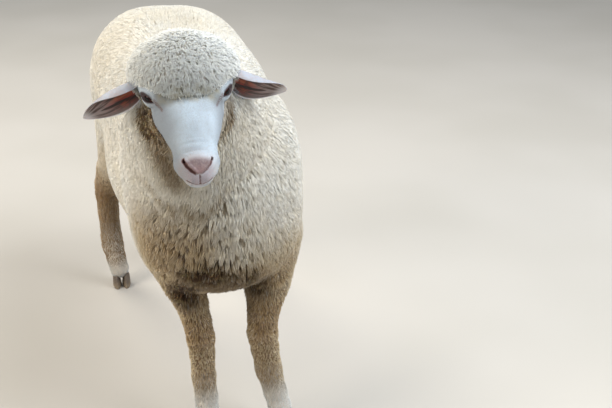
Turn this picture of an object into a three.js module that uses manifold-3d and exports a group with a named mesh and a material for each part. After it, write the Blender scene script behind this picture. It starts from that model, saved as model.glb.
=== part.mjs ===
// A shorn sheep standing still, life size, in millimetres, +Z up.
//
// The sheep faces -Y and its own left side is at +X. The trunk, neck, head, legs and tail are
// each a closed capsule-shaped net drawn out from a curved axis until every vertex lies on a
// smooth field of blended ellipsoids and round cones, which stand for the muscle groups with
// their fleece. The outer surface is the tip of the fleece or hair. The parts are then divided
// from one another by thin cuts.
import * as THREE from 'three';
import { mergeVertices } from 'three/addons/utils/BufferGeometryUtils.js';
import Module from 'manifold-3d';

const wasm = await Module();
wasm.setup();

// ---------------------------------------------------------------- driving dimensions
const CUT = 0.35; // clearance between two parts that touch
const EYE_RADIUS = 12.5;
const EAR_ARC = 31; // half the width of the ear leaf, measured round its cup
const EAR_THICK = 3.0;
const CLAW_LENGTH = 42; // one half of a cloven hoof, at the sole
const CLAW_WIDTH = 20;
const CLAW_FRONT = 31; // height of the coronet at the toe
const CLAW_HEEL = 21; // and at the heel
const CLEFT = 3.4; // gap between the two claws of a foot

// Fields are blended over these widths.
const BLEND_TRUNK = 64;
const BLEND_NECK = 80;
const BLEND_FACE = 22;
const BLEND_BROW = 18;
const BLEND_LEG = 6;
const BLEND_GROIN = 44; // where a leg meets the trunk
const LEG_FLARE = 13;
const FLARE_ROUND = 16; // rounding of that flare's limit, on the shoulder and thigh

// Head: where the middle between the eyes is, and how the head is turned.
const HEAD_PLACE = [-76.8, -131.7, 695.2];
const HEAD_SCALE = 1.05; // the head's own measures are for a head 215 mm from poll to nose
const HEAD_YAW = 4.2; // degrees to its own right
const HEAD_PITCH = 30.6; // degrees nose down
const HEAD_ROLL = 2.2;

// ---------------------------------------------------------------- the muscle groups
const egg = (centre, radii) => ({ centre, radii });
const cone = (from, to, r1, r2) => ({ from, to, r1, r2 });

const TRUNK = [
  egg([40, 310, 488], [104, 320, 146]), // barrel, left and right half
  egg([-36, 310, 488], [104, 320, 146]),
  egg([64, 372, 558], [78, 252, 88]), // broad flat back, left and right
  egg([-58, 372, 558], [78, 252, 88]),
  egg([-8, 85, 482], [121, 150, 162]), // heart girth
  egg([48, 520, 518], [102, 168, 132]), // rump, left and right
  egg([-36, 520, 518], [102, 168, 132]),
  egg([6, 620, 490], [110, 86, 112]), // buttocks
  egg([-8, -2, 408], [104, 86, 98]), // brisket
  egg([-28, -10, 510], [88, 76, 90]), // breast
  egg([0, 200, 405], [116, 220, 96]), // belly
  egg([-2, 335, 402], [141, 262, 97]), // flanks, full at the bottom
  egg([68, 56, 450], [62, 92, 135]), // shoulders
  egg([-80, 48, 440], [56, 86, 122]),
  egg([76, 585, 440], [64, 100, 135]), // thighs
  egg([-68, 585, 440], [64, 100, 135]),
];

// Head, in its own frame: s to its left, a along the face towards the nose, u up off the face.
const FACE = [
  egg([0, -38, -14], [56, 50, 46]), // brain case
  egg([0, 14, -20], [44, 62, 30]), // flat forehead
  cone([0, 10, -24], [0, 92, -29], 33, 26), // bridge of the nose
  egg([0, 99, -30], [27, 27, 25]), // muzzle
  cone([0, -20, -62], [0, 98, -46], 24, 13), // lower jaw
];
const BROWS = [
  egg([39, -9, 3], [20, 24, 15]), // brow ridges
  egg([-39, -9, 3], [20, 24, 15]),
  egg([30, -18, -50], [24, 46, 36]), // cheeks
  egg([-30, -18, -50], [24, 46, 36]),
];
const WOOL_CAP = egg([0, -40, 3], [78, 58, 53]);
const CAP_BLEND = 8;
const EYE_FRONT = [54.5, 1.0, 0.5]; // foremost point of the left eyeball
const EYE_GAZE = new THREE.Vector3(0.8, 0.45, 0.3).normalize();
const EYE_SHOWS = 3.4; // how far the eyeball stands out of the hollow round it
const EYE_DISH = 20; // radius of that hollow

// Legs: joints from the top down, each [x, y, z, radius], and the inner axis of the net.
const LEGS = {
  leg_front_right: {
    joints: [[-76, 48, 400, 52], [-67, 18, 305, 31], [-52, 9, 240, 24.5], [-48, 8, 210, 24.5], [-46, 12, 176, 22],
      [-45, 12, 130, 21.5], [-43, 8, 86, 20.5], [-43, -3, 62, 19.5], [-42, -12, 38, 21.5]],
    axis: [[-74, 42, 385], [-67, 20, 305], [-51, 9, 225], [-46, 12, 150], [-43, 7, 88], [-42, -10, 44]],
    hoof: [-42, -22], toe: -2,
  },
  leg_front_left: {
    joints: [[82, 50, 380, 58], [76, 18, 300, 40], [61, 2, 240, 27], [59, -2, 206, 27], [64, 0, 174, 24.5],
      [70, 0, 130, 24], [80, -8, 84, 21], [84, -18, 62, 20], [88, -28, 38, 22]],
    axis: [[78, 42, 380], [71, 18, 300], [60, 0, 220], [67, 0, 150], [80, -8, 84], [87, -26, 44]],
    hoof: [90, -38], toe: 11,
  },
  leg_hind_right: {
    joints: [[-74, 570, 430, 66], [-98, 536, 346, 50], [-113, 618, 292, 37], [-124, 668, 236, 28.5], [-126, 676, 210, 26.5],
      [-127, 672, 165, 23.5], [-126, 660, 108, 24], [-125, 654, 88, 24.5], [-121, 640, 62, 21.5], [-117, 627, 38, 22]],
    axis: [[-80, 560, 410], [-96, 570, 350], [-114, 620, 290], [-125, 669, 222], [-127, 671, 165], [-125, 655, 92], [-118, 630, 44]],
    hoof: [-115, 617], toe: -5,
  },
  leg_hind_left: {
    joints: [[80, 570, 430, 66], [94, 536, 346, 50], [100, 628, 292, 37], [104, 683, 236, 28.5], [104, 692, 210, 26.5],
      [104, 690, 165, 23.5], [104, 680, 108, 24], [104, 674, 88, 24.5], [104, 662, 62, 21.5], [104, 649, 38, 22]],
    axis: [[80, 560, 410], [90, 570, 350], [100, 628, 291], [104, 685, 222], [104, 688, 165], [104, 675, 92], [104, 652, 44]],
    hoof: [104, 639], toe: 5,
  },
};
const TAIL = [[4, 680, 588, 31], [4, 707, 545, 29], [4, 718, 495, 24], [4, 718, 458, 18]];

// ---------------------------------------------------------------- fields
const sub = (p, q) => [p[0] - q[0], p[1] - q[1], p[2] - q[2]];
const dot = (p, q) => p[0] * q[0] + p[1] * q[1] + p[2] * q[2];
const blend = (a, b, k) => {
  const h = Math.max(k - Math.abs(a - b), 0) / k;
  return Math.min(a, b) - h * h * k * 0.25;
};
const carve = (a, b, k) => -blend(-a, b, k);

function eggField(p, { centre, radii }) {
  const q = sub(p, centre);
  const k0 = Math.hypot(q[0] / radii[0], q[1] / radii[1], q[2] / radii[2]);
  const k1 = Math.hypot(q[0] / radii[0] ** 2, q[1] / radii[1] ** 2, q[2] / radii[2] ** 2);
  return (k0 * (k0 - 1)) / Math.max(k1, 1e-9);
}

function coneField(p, { from, to, r1, r2 }) {
  const ba = sub(to, from), pa = sub(p, from);
  const l2 = dot(ba, ba), rr = r1 - r2, a2 = l2 - rr * rr, il2 = 1 / l2;
  const y = dot(pa, ba), z = y - l2;
  const x = [0, 1, 2].map((i) => pa[i] * l2 - y * ba[i]);
  const x2 = dot(x, x), y2 = y * y * l2, z2 = z * z * l2;
  const k = Math.sign(rr) * rr * rr * x2;
  if (Math.sign(z) * a2 * z2 > k) return Math.sqrt(x2 + z2) * il2 - r2;
  if (Math.sign(y) * a2 * y2 < k) return Math.sqrt(x2 + y2) * il2 - r1;
  return (Math.sqrt(x2 * a2 * il2) + y * rr) * il2 - r1;
}

const field = (p, shape) => (shape.radii ? eggField(p, shape) : coneField(p, shape));
const blended = (p, shapes, k, start = Infinity) =>
  shapes.reduce((d, shape) => (d === Infinity ? field(p, shape) : blend(d, field(p, shape), k)), start);

const chain = (joints) =>
  joints.slice(1).map((b, i) => cone(joints[i].slice(0, 3), b.slice(0, 3), joints[i][3], b[3]));

// ---------------------------------------------------------------- the head's own frame
const side = new THREE.Vector3(1, 0, 0), along = new THREE.Vector3(0, -1, 0), up = new THREE.Vector3(0, 0, 1);
const upright = new THREE.Vector3(0, 0, 1);
[side, along, up].forEach((v) => v.applyAxisAngle(upright, -THREE.MathUtils.degToRad(HEAD_YAW)));
[along, up].forEach((v) => v.applyAxisAngle(side, THREE.MathUtils.degToRad(HEAD_PITCH)));
[side, up].forEach((v) => v.applyAxisAngle(along, THREE.MathUtils.degToRad(HEAD_ROLL)));
const toHead = (p) => {
  const q = new THREE.Vector3(...sub(p, HEAD_PLACE));
  return [q.dot(side), q.dot(along), q.dot(up)].map((v) => v / HEAD_SCALE);
};
const fromHead = ([s, a, u]) =>
  new THREE.Vector3(...HEAD_PLACE).addScaledVector(side, s * HEAD_SCALE)
    .addScaledVector(along, a * HEAD_SCALE).addScaledVector(up, u * HEAD_SCALE);

// ---------------------------------------------------------------- neck
const NECK_BASE = [-12, 68, 545], NECK_MIDDLE = [-56, -14, 628];
const NECK_TOP = fromHead([0, -62, -38]).toArray();
const NECK = [cone(NECK_BASE, NECK_MIDDLE, 112, 90), cone(NECK_MIDDLE, NECK_TOP, 90, 75)];

const bodyField = (p) => blend(blended(p, TRUNK, BLEND_TRUNK), blended(p, NECK, 60), BLEND_NECK);

const eyeCentre = (handed) =>
  new THREE.Vector3(handed * EYE_FRONT[0], EYE_FRONT[1], EYE_FRONT[2])
    .addScaledVector(new THREE.Vector3(handed * EYE_GAZE.x, EYE_GAZE.y, EYE_GAZE.z), -EYE_RADIUS);

function headField(p) {
  const q = toHead(p);
  let d = blended(q, FACE, BLEND_FACE);
  d = blended(q, BROWS, BLEND_BROW, d);
  d = blend(d, eggField(q, WOOL_CAP), CAP_BLEND);
  for (const handed of [-1, 1]) {
    const c = eyeCentre(handed);
    const gaze = [handed * EYE_GAZE.x, EYE_GAZE.y, EYE_GAZE.z];
    const out = EYE_RADIUS - EYE_SHOWS + EYE_DISH;
    const dish = Math.hypot(q[0] - c.x - gaze[0] * out, q[1] - c.y - gaze[1] * out, q[2] - c.z - gaze[2] * out) - EYE_DISH;
    d = carve(d, dish, 5);
  }
  return d * HEAD_SCALE;
}

// ---------------------------------------------------------------- nets drawn onto a field
// The net is a capsule whose straight part follows the axis and whose round ends fan out
// from the axis's two ends. A vertex moves out along its own ray to where the field is `grown`.
// `crowd` sets the rings closer together about four fifths of the way along, where the axis bends.
function drawOut(axisPoints, f, { sides, rings, ends, crowd = 0, grown = 0, reach = 420 }) {
  const axis = new THREE.CatmullRomCurve3(axisPoints.map((p) => new THREE.Vector3(...p)), false, 'centripetal');
  const geometry = new THREE.CapsuleGeometry(1, 2, ends, sides, rings);
  const at = geometry.getAttribute('position');
  const lateral = new THREE.Vector3(1, 0, 0);
  for (let i = 0; i < at.count; i++) {
    const x = at.getX(i), y = at.getY(i), z = at.getZ(i);
    const even = THREE.MathUtils.clamp((y + 1) / 2, 0, 1);
    const t = THREE.MathUtils.clamp(even + crowd * (Math.sin(2 * Math.PI * (even - 0.28)) + Math.sin(2 * Math.PI * 0.28)), 0, 1);
    const origin = axis.getPointAt(t), tangent = axis.getTangentAt(t);
    const right = lateral.clone().addScaledVector(tangent, -lateral.dot(tangent)).normalize();
    const third = new THREE.Vector3().crossVectors(right, tangent);
    const overrun = y > 1 ? y - 1 : y < -1 ? y + 1 : 0;
    const ray = new THREE.Vector3()
      .addScaledVector(right, x).addScaledVector(tangent, overrun).addScaledVector(third, z).normalize();
    const value = (r) => f(origin.clone().addScaledVector(ray, r).toArray()) - grown;
    let low = 0, high = 4;
    while (value(high) < 0 && high < reach) { low = high; high += 4; }
    for (let n = 0; n < 22; n++) {
      const middle = (low + high) / 2;
      if (value(middle) < 0) low = middle; else high = middle;
    }
    origin.addScaledVector(ray, (low + high) / 2);
    at.setXYZ(i, origin.x, origin.y, origin.z);
  }
  return geometry;
}

// ---------------------------------------------------------------- solids
function solid(geometry) {
  const g = geometry.clone();
  for (const name of ['normal', 'uv']) if (g.getAttribute(name)) g.deleteAttribute(name);
  const merged = mergeVertices(g, 1e-4);
  const index = merged.index.array, kept = [];
  for (let i = 0; i < index.length; i += 3) {
    const [a, b, c] = [index[i], index[i + 1], index[i + 2]];
    if (a !== b && b !== c && a !== c) kept.push(a, b, c);
  }
  return new wasm.Manifold(new wasm.Mesh({
    numProp: 3,
    vertProperties: new Float32Array(merged.getAttribute('position').array),
    triVerts: new Uint32Array(kept),
  }));
}

// The largest single piece of a cut, without the loose slivers beside it.
const largest = (cut) => cut.decompose().sort((a, b) => b.volume() - a.volume())[0];

function mesh(name, shape, look) {
  const { vertProperties, triVerts } = shape.getMesh();
  const geometry = new THREE.BufferGeometry()
    .setAttribute('position', new THREE.BufferAttribute(vertProperties, 3));
  geometry.setIndex(new THREE.BufferAttribute(triVerts, 1));
  geometry.computeVertexNormals();
  const made = new THREE.Mesh(geometry, new THREE.MeshStandardMaterial({ ...look, name }));
  made.name = name;
  return made;
}

const WOOL = { color: 0xe2d8c2, roughness: 0.95, metalness: 0 };
const LEG_WOOL = { color: 0xcdbd9f, roughness: 0.95, metalness: 0 };
const HAIR = { color: 0xe6e7ea, roughness: 0.85, metalness: 0 };
const EAR_SKIN = { color: 0xd9cfcc, roughness: 0.8, metalness: 0 };
const EYE = { color: 0x1c1311, roughness: 0.08, metalness: 0 };
const HORN = { color: 0x4a4541, roughness: 0.6, metalness: 0 };

// A box big enough to hold all that lies on one side of a sloping plane.
function halfSpace(point, normal, gap) {
  const size = 1600;
  const n = new THREE.Vector3(...normal).normalize();
  const geometry = new THREE.BoxGeometry(size, size, size);
  geometry.applyQuaternion(new THREE.Quaternion().setFromUnitVectors(new THREE.Vector3(0, 0, 1), n));
  const centre = new THREE.Vector3(...point).addScaledVector(n, size / 2 + gap);
  geometry.translate(centre.x, centre.y, centre.z);
  return solid(geometry);
}

// Trunk and neck are one drawn-out net, divided where the neck leaves the shoulders.
const SPINE = [[6, 612, 505], [5, 450, 500], [1, 300, 492], [-4, 160, 492], [-14, 66, 522], [-36, 14, 580], [-55, -20, 636], NECK_TOP];
const SPINE_NET = { sides: 26, rings: 27, ends: 5, crowd: 0.075 };
const torso = solid(drawOut(SPINE, bodyField, SPINE_NET));
const torsoGrown = solid(drawOut(SPINE, bodyField, { ...SPINE_NET, grown: CUT }));
const NECK_CUT = [-34, 20, 588], NECK_WAY = [-0.28, -0.66, 0.7];
const neckSide = halfSpace(NECK_CUT, NECK_WAY, CUT / 2);
const trunkSide = halfSpace(NECK_CUT, NECK_WAY.map((v) => -v), CUT / 2);

// Head with its woolly cap.
const HEAD_AXIS = [[0, -52, -12], [0, -20, -22], [0, 30, -30], [0, 88, -32]].map((p) => fromHead(p).toArray());
const HEAD_NET = { sides: 26, rings: 19, ends: 6 };
const skull = solid(drawOut(HEAD_AXIS, headField, HEAD_NET));
const skullGrown = solid(drawOut(HEAD_AXIS, headField, { ...HEAD_NET, grown: CUT }));

function eyeball(handed, grown) {
  const geometry = new THREE.SphereGeometry(EYE_RADIUS * HEAD_SCALE + grown, 12, 8);
  const place = fromHead(eyeCentre(handed).toArray());
  geometry.translate(place.x, place.y, place.z);
  return solid(geometry);
}

// Ear: a leaf curled into a cup, tube-like at its root, flatter and narrower towards its tip.
const EARS = {
  ear_right: { root: [-62, -38, -7], tip: [-140, -36, -71], open: [0.1, 0.9, 0.0], bow: 5, broad: 0.24, slim: 0.26 },
  ear_left: { root: [62, -40, -2], tip: [145, -43, -61], open: [-0.1, 0.9, -0.05], bow: -3, broad: 0.22, slim: -0.1 },
};
const earHalf = (t) => EAR_ARC * Math.sin(Math.PI * Math.min(1, t * 0.78 + 0.22)) ** 0.8 + 1.0;
const earCurl = (t) => THREE.MathUtils.degToRad(92 * (1 - t) ** 1.1 + 28);

const ease = (x) => { const c = Math.min(1, Math.max(0, x)); return c * c * (3 - 2 * c); };
// The upper half of the leaf is broader near the root, and slimmer or fuller towards the tip.
const earUpper = (t, across, { broad, slim }) =>
  1 + ease(across / 0.6) * (broad * (1 - ease((t - 0.1) / 0.55)) - slim * ease((t - 0.4) / 0.45));

function ear(shape) {
  const { root, tip, open, bow } = shape;
  const base = new THREE.Vector3(...root);
  const way = new THREE.Vector3(...tip).sub(base);
  const length = way.length();
  way.normalize();
  const out = new THREE.Vector3(...open);
  out.addScaledVector(way, -out.dot(way)).normalize();
  const rim = new THREE.Vector3().crossVectors(way, out);
  if (rim.z < 0) rim.negate();
  const geometry = new THREE.BoxGeometry(1, 1, 1, 10, 7, 1);
  const at = geometry.getAttribute('position');
  for (let i = 0; i < at.count; i++) {
    const t = at.getX(i) + 0.5, across = 2 * at.getY(i), face = at.getZ(i);
    const curl = earCurl(t), arc = across * curl, r = (earHalf(t) * earUpper(t, across, shape)) / curl;
    const thick = face * EAR_THICK * (1 - 0.35 * t) * (1 - 0.35 * across * across);
    const p = base.clone().addScaledVector(way, t * length)
      .addScaledVector(out, r - (r - thick) * Math.cos(arc))
      .addScaledVector(rim, (r - thick) * Math.sin(arc) + bow * Math.sin(Math.PI * t));
    const world = fromHead(p.toArray());
    at.setXYZ(i, world.x, world.y, world.z);
  }
  const made = solid(geometry);
  if (made.volume() > 0) return made;
  const index = geometry.index.array;
  for (let i = 0; i < index.length; i += 3) [index[i + 1], index[i + 2]] = [index[i + 2], index[i + 1]];
  return solid(geometry);
}

// One claw of a cloven hoof: flat sole, sloping toe wall, lower heel, flatter inner side.
function claw([x, y], toeDegrees, handed, grown = 0) {
  const geometry = new THREE.CylinderGeometry(1, 1, 1, 12, 2);
  const at = geometry.getAttribute('position');
  const turn = THREE.MathUtils.degToRad(toeDegrees);
  for (let i = 0; i < at.count; i++) {
    const v = at.getY(i) + 0.5, fore = at.getX(i), wide = at.getZ(i);
    const halfLength = (CLAW_LENGTH / 2) * (1 - 0.3 * v) + grown;
    const halfWidth = (CLAW_WIDTH / 2) * (1 - 0.1 * v) * (1 - 0.24 * fore) + grown;
    const inner = wide < 0 ? 0.82 : 1;
    const f = fore * halfLength - 9 * v;
    const w = handed * (wide * halfWidth * inner + CLAW_WIDTH * 0.41 + CLEFT / 2);
    const height = (CLAW_FRONT + CLAW_HEEL) / 2 + ((CLAW_FRONT - CLAW_HEEL) / 2) * fore;
    at.setXYZ(i, x + w * Math.cos(turn) + f * Math.sin(turn), y + w * Math.sin(turn) - f * Math.cos(turn), v * (height + grown));
  }
  const made = solid(geometry);
  if (made.volume() > 0) return made;
  const index = geometry.index.array;
  for (let i = 0; i < index.length; i += 3) [index[i + 1], index[i + 2]] = [index[i + 2], index[i + 1]];
  return solid(geometry);
}

// ---------------------------------------------------------------- assembly
const sheep = new THREE.Group();
const place = (name, shape, look) => sheep.add(mesh(name, shape, look));

place('trunk', largest(torso.intersect(trunkSide)), WOOL);
place('neck', largest(torso.intersect(neckSide).subtract(skullGrown)), WOOL);

let head = skull;
for (const [name, handed] of [['eye_right', -1], ['eye_left', 1]]) {
  head = head.subtract(eyeball(handed, CUT));
  place(name, eyeball(handed, 0), EYE);
}
place('head', largest(head), HAIR);

for (const [name, shape] of Object.entries(EARS))
  place(name, largest(ear(shape).subtract(skullGrown).subtract(torsoGrown)), EAR_SKIN);

const LEG_NET = { sides: 13, rings: 18, ends: 3 };
for (const [name, { joints, axis, hoof, toe }] of Object.entries(LEGS)) {
  const cones = chain(joints);
  // The leg flares where it meets the trunk, no further than LEG_FLARE out from its own cones.
  const legField = (p) => {
    const bare = blended(p, cones, BLEND_LEG);
    return carve(blend(bare, bodyField(p), BLEND_GROIN), LEG_FLARE - bare, FLARE_ROUND);
  };
  let leg = solid(drawOut(axis, legField, LEG_NET)).subtract(torsoGrown);
  const handed = joints[0][0] < 0 ? -1 : 1;
  for (const [part, way] of [['outer', handed], ['inner', -handed]]) {
    leg = leg.subtract(claw(hoof, toe, way, CUT));
    place(name.replace('leg', 'hoof') + '_' + part, claw(hoof, toe, way), HORN);
  }
  place(name, largest(leg), LEG_WOOL);
}

const TAIL_AXIS = [[4, 684, 580], [4, 708, 536], [4, 718, 466]];
const tailCones = chain(TAIL);
place('tail', largest(solid(drawOut(TAIL_AXIS, (p) => blended(p, tailCones, 20), { sides: 12, rings: 5, ends: 3 }))
  .subtract(torsoGrown)), WOOL);

// The origin is under the middle of the sheep, on the ground.
const bounds = new THREE.Box3().setFromObject(sheep, true);
const middle = bounds.getCenter(new THREE.Vector3());
sheep.position.set(-middle.x, -middle.y, -bounds.min.z);
sheep.updateMatrixWorld(true);

export default sheep;
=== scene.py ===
import math

import bpy
import numpy as np
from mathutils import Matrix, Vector
from mathutils.kdtree import KDTree


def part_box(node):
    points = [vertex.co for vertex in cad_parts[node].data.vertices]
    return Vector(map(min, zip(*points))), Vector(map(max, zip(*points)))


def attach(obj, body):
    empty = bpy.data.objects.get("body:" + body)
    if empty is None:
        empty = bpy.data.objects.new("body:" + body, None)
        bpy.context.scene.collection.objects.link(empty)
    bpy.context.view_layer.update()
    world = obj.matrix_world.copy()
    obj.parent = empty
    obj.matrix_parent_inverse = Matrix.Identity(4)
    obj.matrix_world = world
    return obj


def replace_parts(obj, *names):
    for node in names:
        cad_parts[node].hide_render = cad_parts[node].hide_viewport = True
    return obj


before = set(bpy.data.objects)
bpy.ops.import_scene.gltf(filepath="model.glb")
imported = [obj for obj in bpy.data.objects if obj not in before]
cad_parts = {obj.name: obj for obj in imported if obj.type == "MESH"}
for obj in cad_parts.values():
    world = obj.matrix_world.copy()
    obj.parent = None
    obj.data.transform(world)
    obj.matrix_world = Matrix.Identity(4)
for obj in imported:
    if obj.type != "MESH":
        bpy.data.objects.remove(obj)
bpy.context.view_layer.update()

rng = np.random.default_rng(20)


# ------------------------------------------------------------------------------- field kit
def smin(a, b, k):
    h = np.maximum(k - np.abs(a - b), 0.0) / k
    return np.minimum(a, b) - h * h * k * 0.25


def smax(a, b, k):
    return -smin(-a, -b, k)


def step(x):
    x = np.clip(x, 0.0, 1.0)
    return x * x * (3 - 2 * x)


def egg(P, c, r):
    Q = P - np.asarray(c, float)
    r = np.asarray(r, float)
    k0 = np.sqrt(((Q / r) ** 2).sum(-1))
    k1 = np.sqrt(((Q / r**2) ** 2).sum(-1))
    return k0 * (k0 - 1.0) / np.maximum(k1, 1e-9)


def cone(P, a, b, r1, r2):
    a, b = np.asarray(a, float), np.asarray(b, float)
    ba = b - a
    l2 = ba @ ba
    rr = r1 - r2
    a2 = l2 - rr * rr
    il2 = 1.0 / l2
    pa = P - a
    y = pa @ ba
    z = y - l2
    x = pa * l2 - y[..., None] * ba
    x2 = (x * x).sum(-1)
    y2, z2 = y * y * l2, z * z * l2
    k = np.sign(rr) * rr * rr * x2
    d = (np.sqrt(x2 * a2 * il2) + y * rr) * il2 - r1
    far = np.sign(z) * a2 * z2 > k
    near = (~far) & (np.sign(y) * a2 * y2 < k)
    d = np.where(far, np.sqrt(x2 + z2) * il2 - r2, d)
    return np.where(near, np.sqrt(x2 + y2) * il2 - r1, d)


def blended(P, shapes, k, d=None):
    for sh in shapes:
        e = egg(P, *sh) if len(sh) == 2 else cone(P, *sh)
        d = e if d is None else smin(d, e, k)
    return d


def chain(joints):
    return [(p[:3], q[:3], p[3], q[3]) for p, q in zip(joints[:-1], joints[1:])]


# ------------------------------------------------------------------------------- the animal
HEAD_PLACE, HEAD_SCALE = np.array([-76.8, -131.7, 695.2]), 1.05


def turned(v, axis, t):
    return v * math.cos(t) + np.cross(axis, v) * math.sin(t) + axis * (axis @ v) * (1 - math.cos(t))


def head_axes():
    s, a, u = np.array([1.0, 0, 0]), np.array([0, -1.0, 0]), np.array([0, 0, 1.0])
    z = np.array([0, 0, 1.0])
    s, a, u = (turned(v, z, -math.radians(4.2)) for v in (s, a, u))
    a, u = (turned(v, s, math.radians(30.6)) for v in (a, u))
    s, u = (turned(v, a, math.radians(2.2)) for v in (s, u))
    return np.array([s, a, u])


HR = head_axes()


def to_head(P):
    return (P - HEAD_PLACE) @ HR.T / HEAD_SCALE


def from_head(Q):
    return np.asarray(Q, float) @ HR * HEAD_SCALE + HEAD_PLACE


TRUNK = [((40, 310, 488), (104, 320, 146)), ((-36, 310, 488), (104, 320, 146)),
         ((64, 372, 558), (78, 252, 88)), ((-58, 372, 558), (78, 252, 88)),
         ((-8, 85, 482), (121, 150, 162)), ((48, 520, 518), (102, 168, 132)),
         ((-36, 520, 518), (102, 168, 132)), ((6, 620, 490), (110, 86, 112)),
         ((-8, -2, 408), (104, 86, 98)), ((-28, -10, 510), (88, 76, 90)),
         ((0, 200, 405), (116, 220, 96)), ((-2, 335, 402), (141, 262, 97)), ((68, 56, 450), (62, 92, 135)),
         ((-80, 48, 440), (56, 86, 122)), ((76, 585, 440), (64, 100, 135)),
         ((-68, 585, 440), (64, 100, 135))]
NECK_TOP = from_head((0, -62, -38))
NECK = [((-12, 68, 545), (-56, -14, 628), 112, 90), ((-56, -14, 628), tuple(NECK_TOP), 90, 75)]
FACE = [((0, -38, -14), (56, 50, 46)), ((0, 14, -20), (44, 62, 30)), ((0, 10, -24), (0, 92, -29), 33, 26),
        ((0, 99, -30), (27, 27, 25)), ((0, -20, -62), (0, 98, -46), 24, 13)]
BROWS = [((39, -9, 3), (20, 24, 15)), ((-39, -9, 3), (20, 24, 15)),
         ((30, -18, -50), (24, 46, 36)), ((-30, -18, -50), (24, 46, 36))]
CAP = ((0, -40, 3), (78, 58, 53))
LEGS = {
    "leg_front_right": dict(
        joints=[(-76, 48, 400, 52), (-67, 18, 305, 31), (-52, 9, 240, 24.5), (-48, 8, 210, 24.5), (-46, 12, 176, 22),
                (-45, 12, 130, 21.5), (-43, 8, 86, 20.5), (-43, -3, 62, 19.5), (-42, -12, 38, 21.5)],
        axis=[(-74, 42, 385), (-67, 20, 305), (-51, 9, 225), (-46, 12, 150), (-43, 7, 88), (-42, -10, 44)],
        hoof=(-42, -22), toe=-2),
    "leg_front_left": dict(
        joints=[(82, 50, 380, 58), (76, 18, 300, 40), (61, 2, 240, 27), (59, -2, 206, 27), (64, 0, 174, 24.5),
                (70, 0, 130, 24), (80, -8, 84, 21), (84, -18, 62, 20), (88, -28, 38, 22)],
        axis=[(78, 42, 380), (71, 18, 300), (60, 0, 220), (67, 0, 150), (80, -8, 84), (87, -26, 44)],
        hoof=(90, -38), toe=11),
    "leg_hind_right": dict(
        joints=[(-74, 570, 430, 66), (-98, 536, 346, 50), (-113, 618, 292, 37), (-124, 668, 236, 28.5), (-126, 676, 210, 26.5),
                (-127, 672, 165, 23.5), (-126, 660, 108, 24), (-125, 654, 88, 24.5), (-121, 640, 62, 21.5), (-117, 627, 38, 22)],
        axis=[(-80, 560, 410), (-96, 570, 350), (-114, 620, 290), (-125, 669, 222), (-127, 671, 165), (-125, 655, 92), (-118, 630, 44)],
        hoof=(-115, 617), toe=-5),
    "leg_hind_left": dict(
        joints=[(80, 570, 430, 66), (94, 536, 346, 50), (100, 628, 292, 37), (104, 683, 236, 28.5), (104, 692, 210, 26.5),
                (104, 690, 165, 23.5), (104, 680, 108, 24), (104, 674, 88, 24.5), (104, 662, 62, 21.5), (104, 649, 38, 22)],
        axis=[(80, 560, 410), (90, 570, 350), (100, 628, 291), (104, 685, 222), (104, 688, 165), (104, 675, 92), (104, 652, 44)],
        hoof=(104, 639), toe=5),
}
TAIL = [(4, 680, 588, 31), (4, 707, 545, 29), (4, 718, 495, 24), (4, 718, 458, 18)]
EYE_RADIUS, EYE_SHOWS, EYE_DISH = 12.5, 3.4, 20.0
GAZE = np.array([0.8, 0.45, 0.3]) / np.linalg.norm([0.8, 0.45, 0.3])
EYE = np.array([54.5, 1.0, 0.5]) - GAZE * EYE_RADIUS  # the left eye's centre, in the head's frame
SHUT = np.array([13.7, -20.3, -5.3])                    # from the inner to the outer corner
SHUT = SHUT - GAZE * (SHUT @ GAZE)
SHUT /= np.linalg.norm(SHUT)
LIFT = np.cross(GAZE, SHUT)
LIFT *= np.sign(LIFT[2])
EARS = {"right": dict(root=(-62, -38, -7), tip=(-140, -36, -71), open=(0.1, 0.9, 0.0), bow=5.0, broad=0.24, slim=0.26),
        "left": dict(root=(62, -40, -2), tip=(145, -43, -61), open=(-0.1, 0.9, -0.05), bow=-3.0, broad=0.22, slim=-0.1)}

low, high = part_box("eye_left")
SHIFT = (np.array(low) + np.array(high)) * 500.0 - from_head(EYE)  # from the sheep's frame to the row's


def face_form(q):
    return blended(q, BROWS, 18.0, blended(q, FACE, 22.0))


def head_form(q):
    """The outer form of the head, to the tips of the wool."""
    d = smin(face_form(q), egg(q, *CAP), 8.0)
    e = np.stack([np.abs(q[..., 0]), q[..., 1], q[..., 2]], -1) - EYE - GAZE * (EYE_RADIUS - EYE_SHOWS + EYE_DISH)
    return smax(d, -(np.linalg.norm(e, axis=-1) - EYE_DISH), 5.0)


def body_form(P):
    return smin(blended(P, TRUNK, 64.0), blended(P, NECK, 60.0), 80.0)


def leg_zone(P, leg):
    xy = np.array([j[:2] for j in leg["joints"]])
    lo, hi = xy.min(0) - 95, xy.max(0) + 95
    return (P[:, 2] < 490) & (P[:, 0] > lo[0]) & (P[:, 0] < hi[0]) & (P[:, 1] > lo[1]) & (P[:, 1] < hi[1])


def outer(P):
    """The outer form of the whole sheep, to the tips of its coat."""
    d = np.full(len(P), 1e3)
    up = P[:, 2] > 180
    d[up] = body_form(P[up])
    for leg in LEGS.values():
        m = leg_zone(P, leg)
        bare = blended(P[m], chain(leg["joints"]), 6.0)
        d[m] = np.minimum(d[m], smax(smin(bare, d[m], 44.0), bare - 13.0, 16.0))
    m = P[:, 1] > 560
    d[m] = np.minimum(d[m], blended(P[m], chain(TAIL), 20.0))
    m = (P[:, 1] < 60) & (P[:, 2] > 500)
    d[m] = np.minimum(d[m], head_form(to_head(P[m])) * HEAD_SCALE)
    return d


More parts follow.
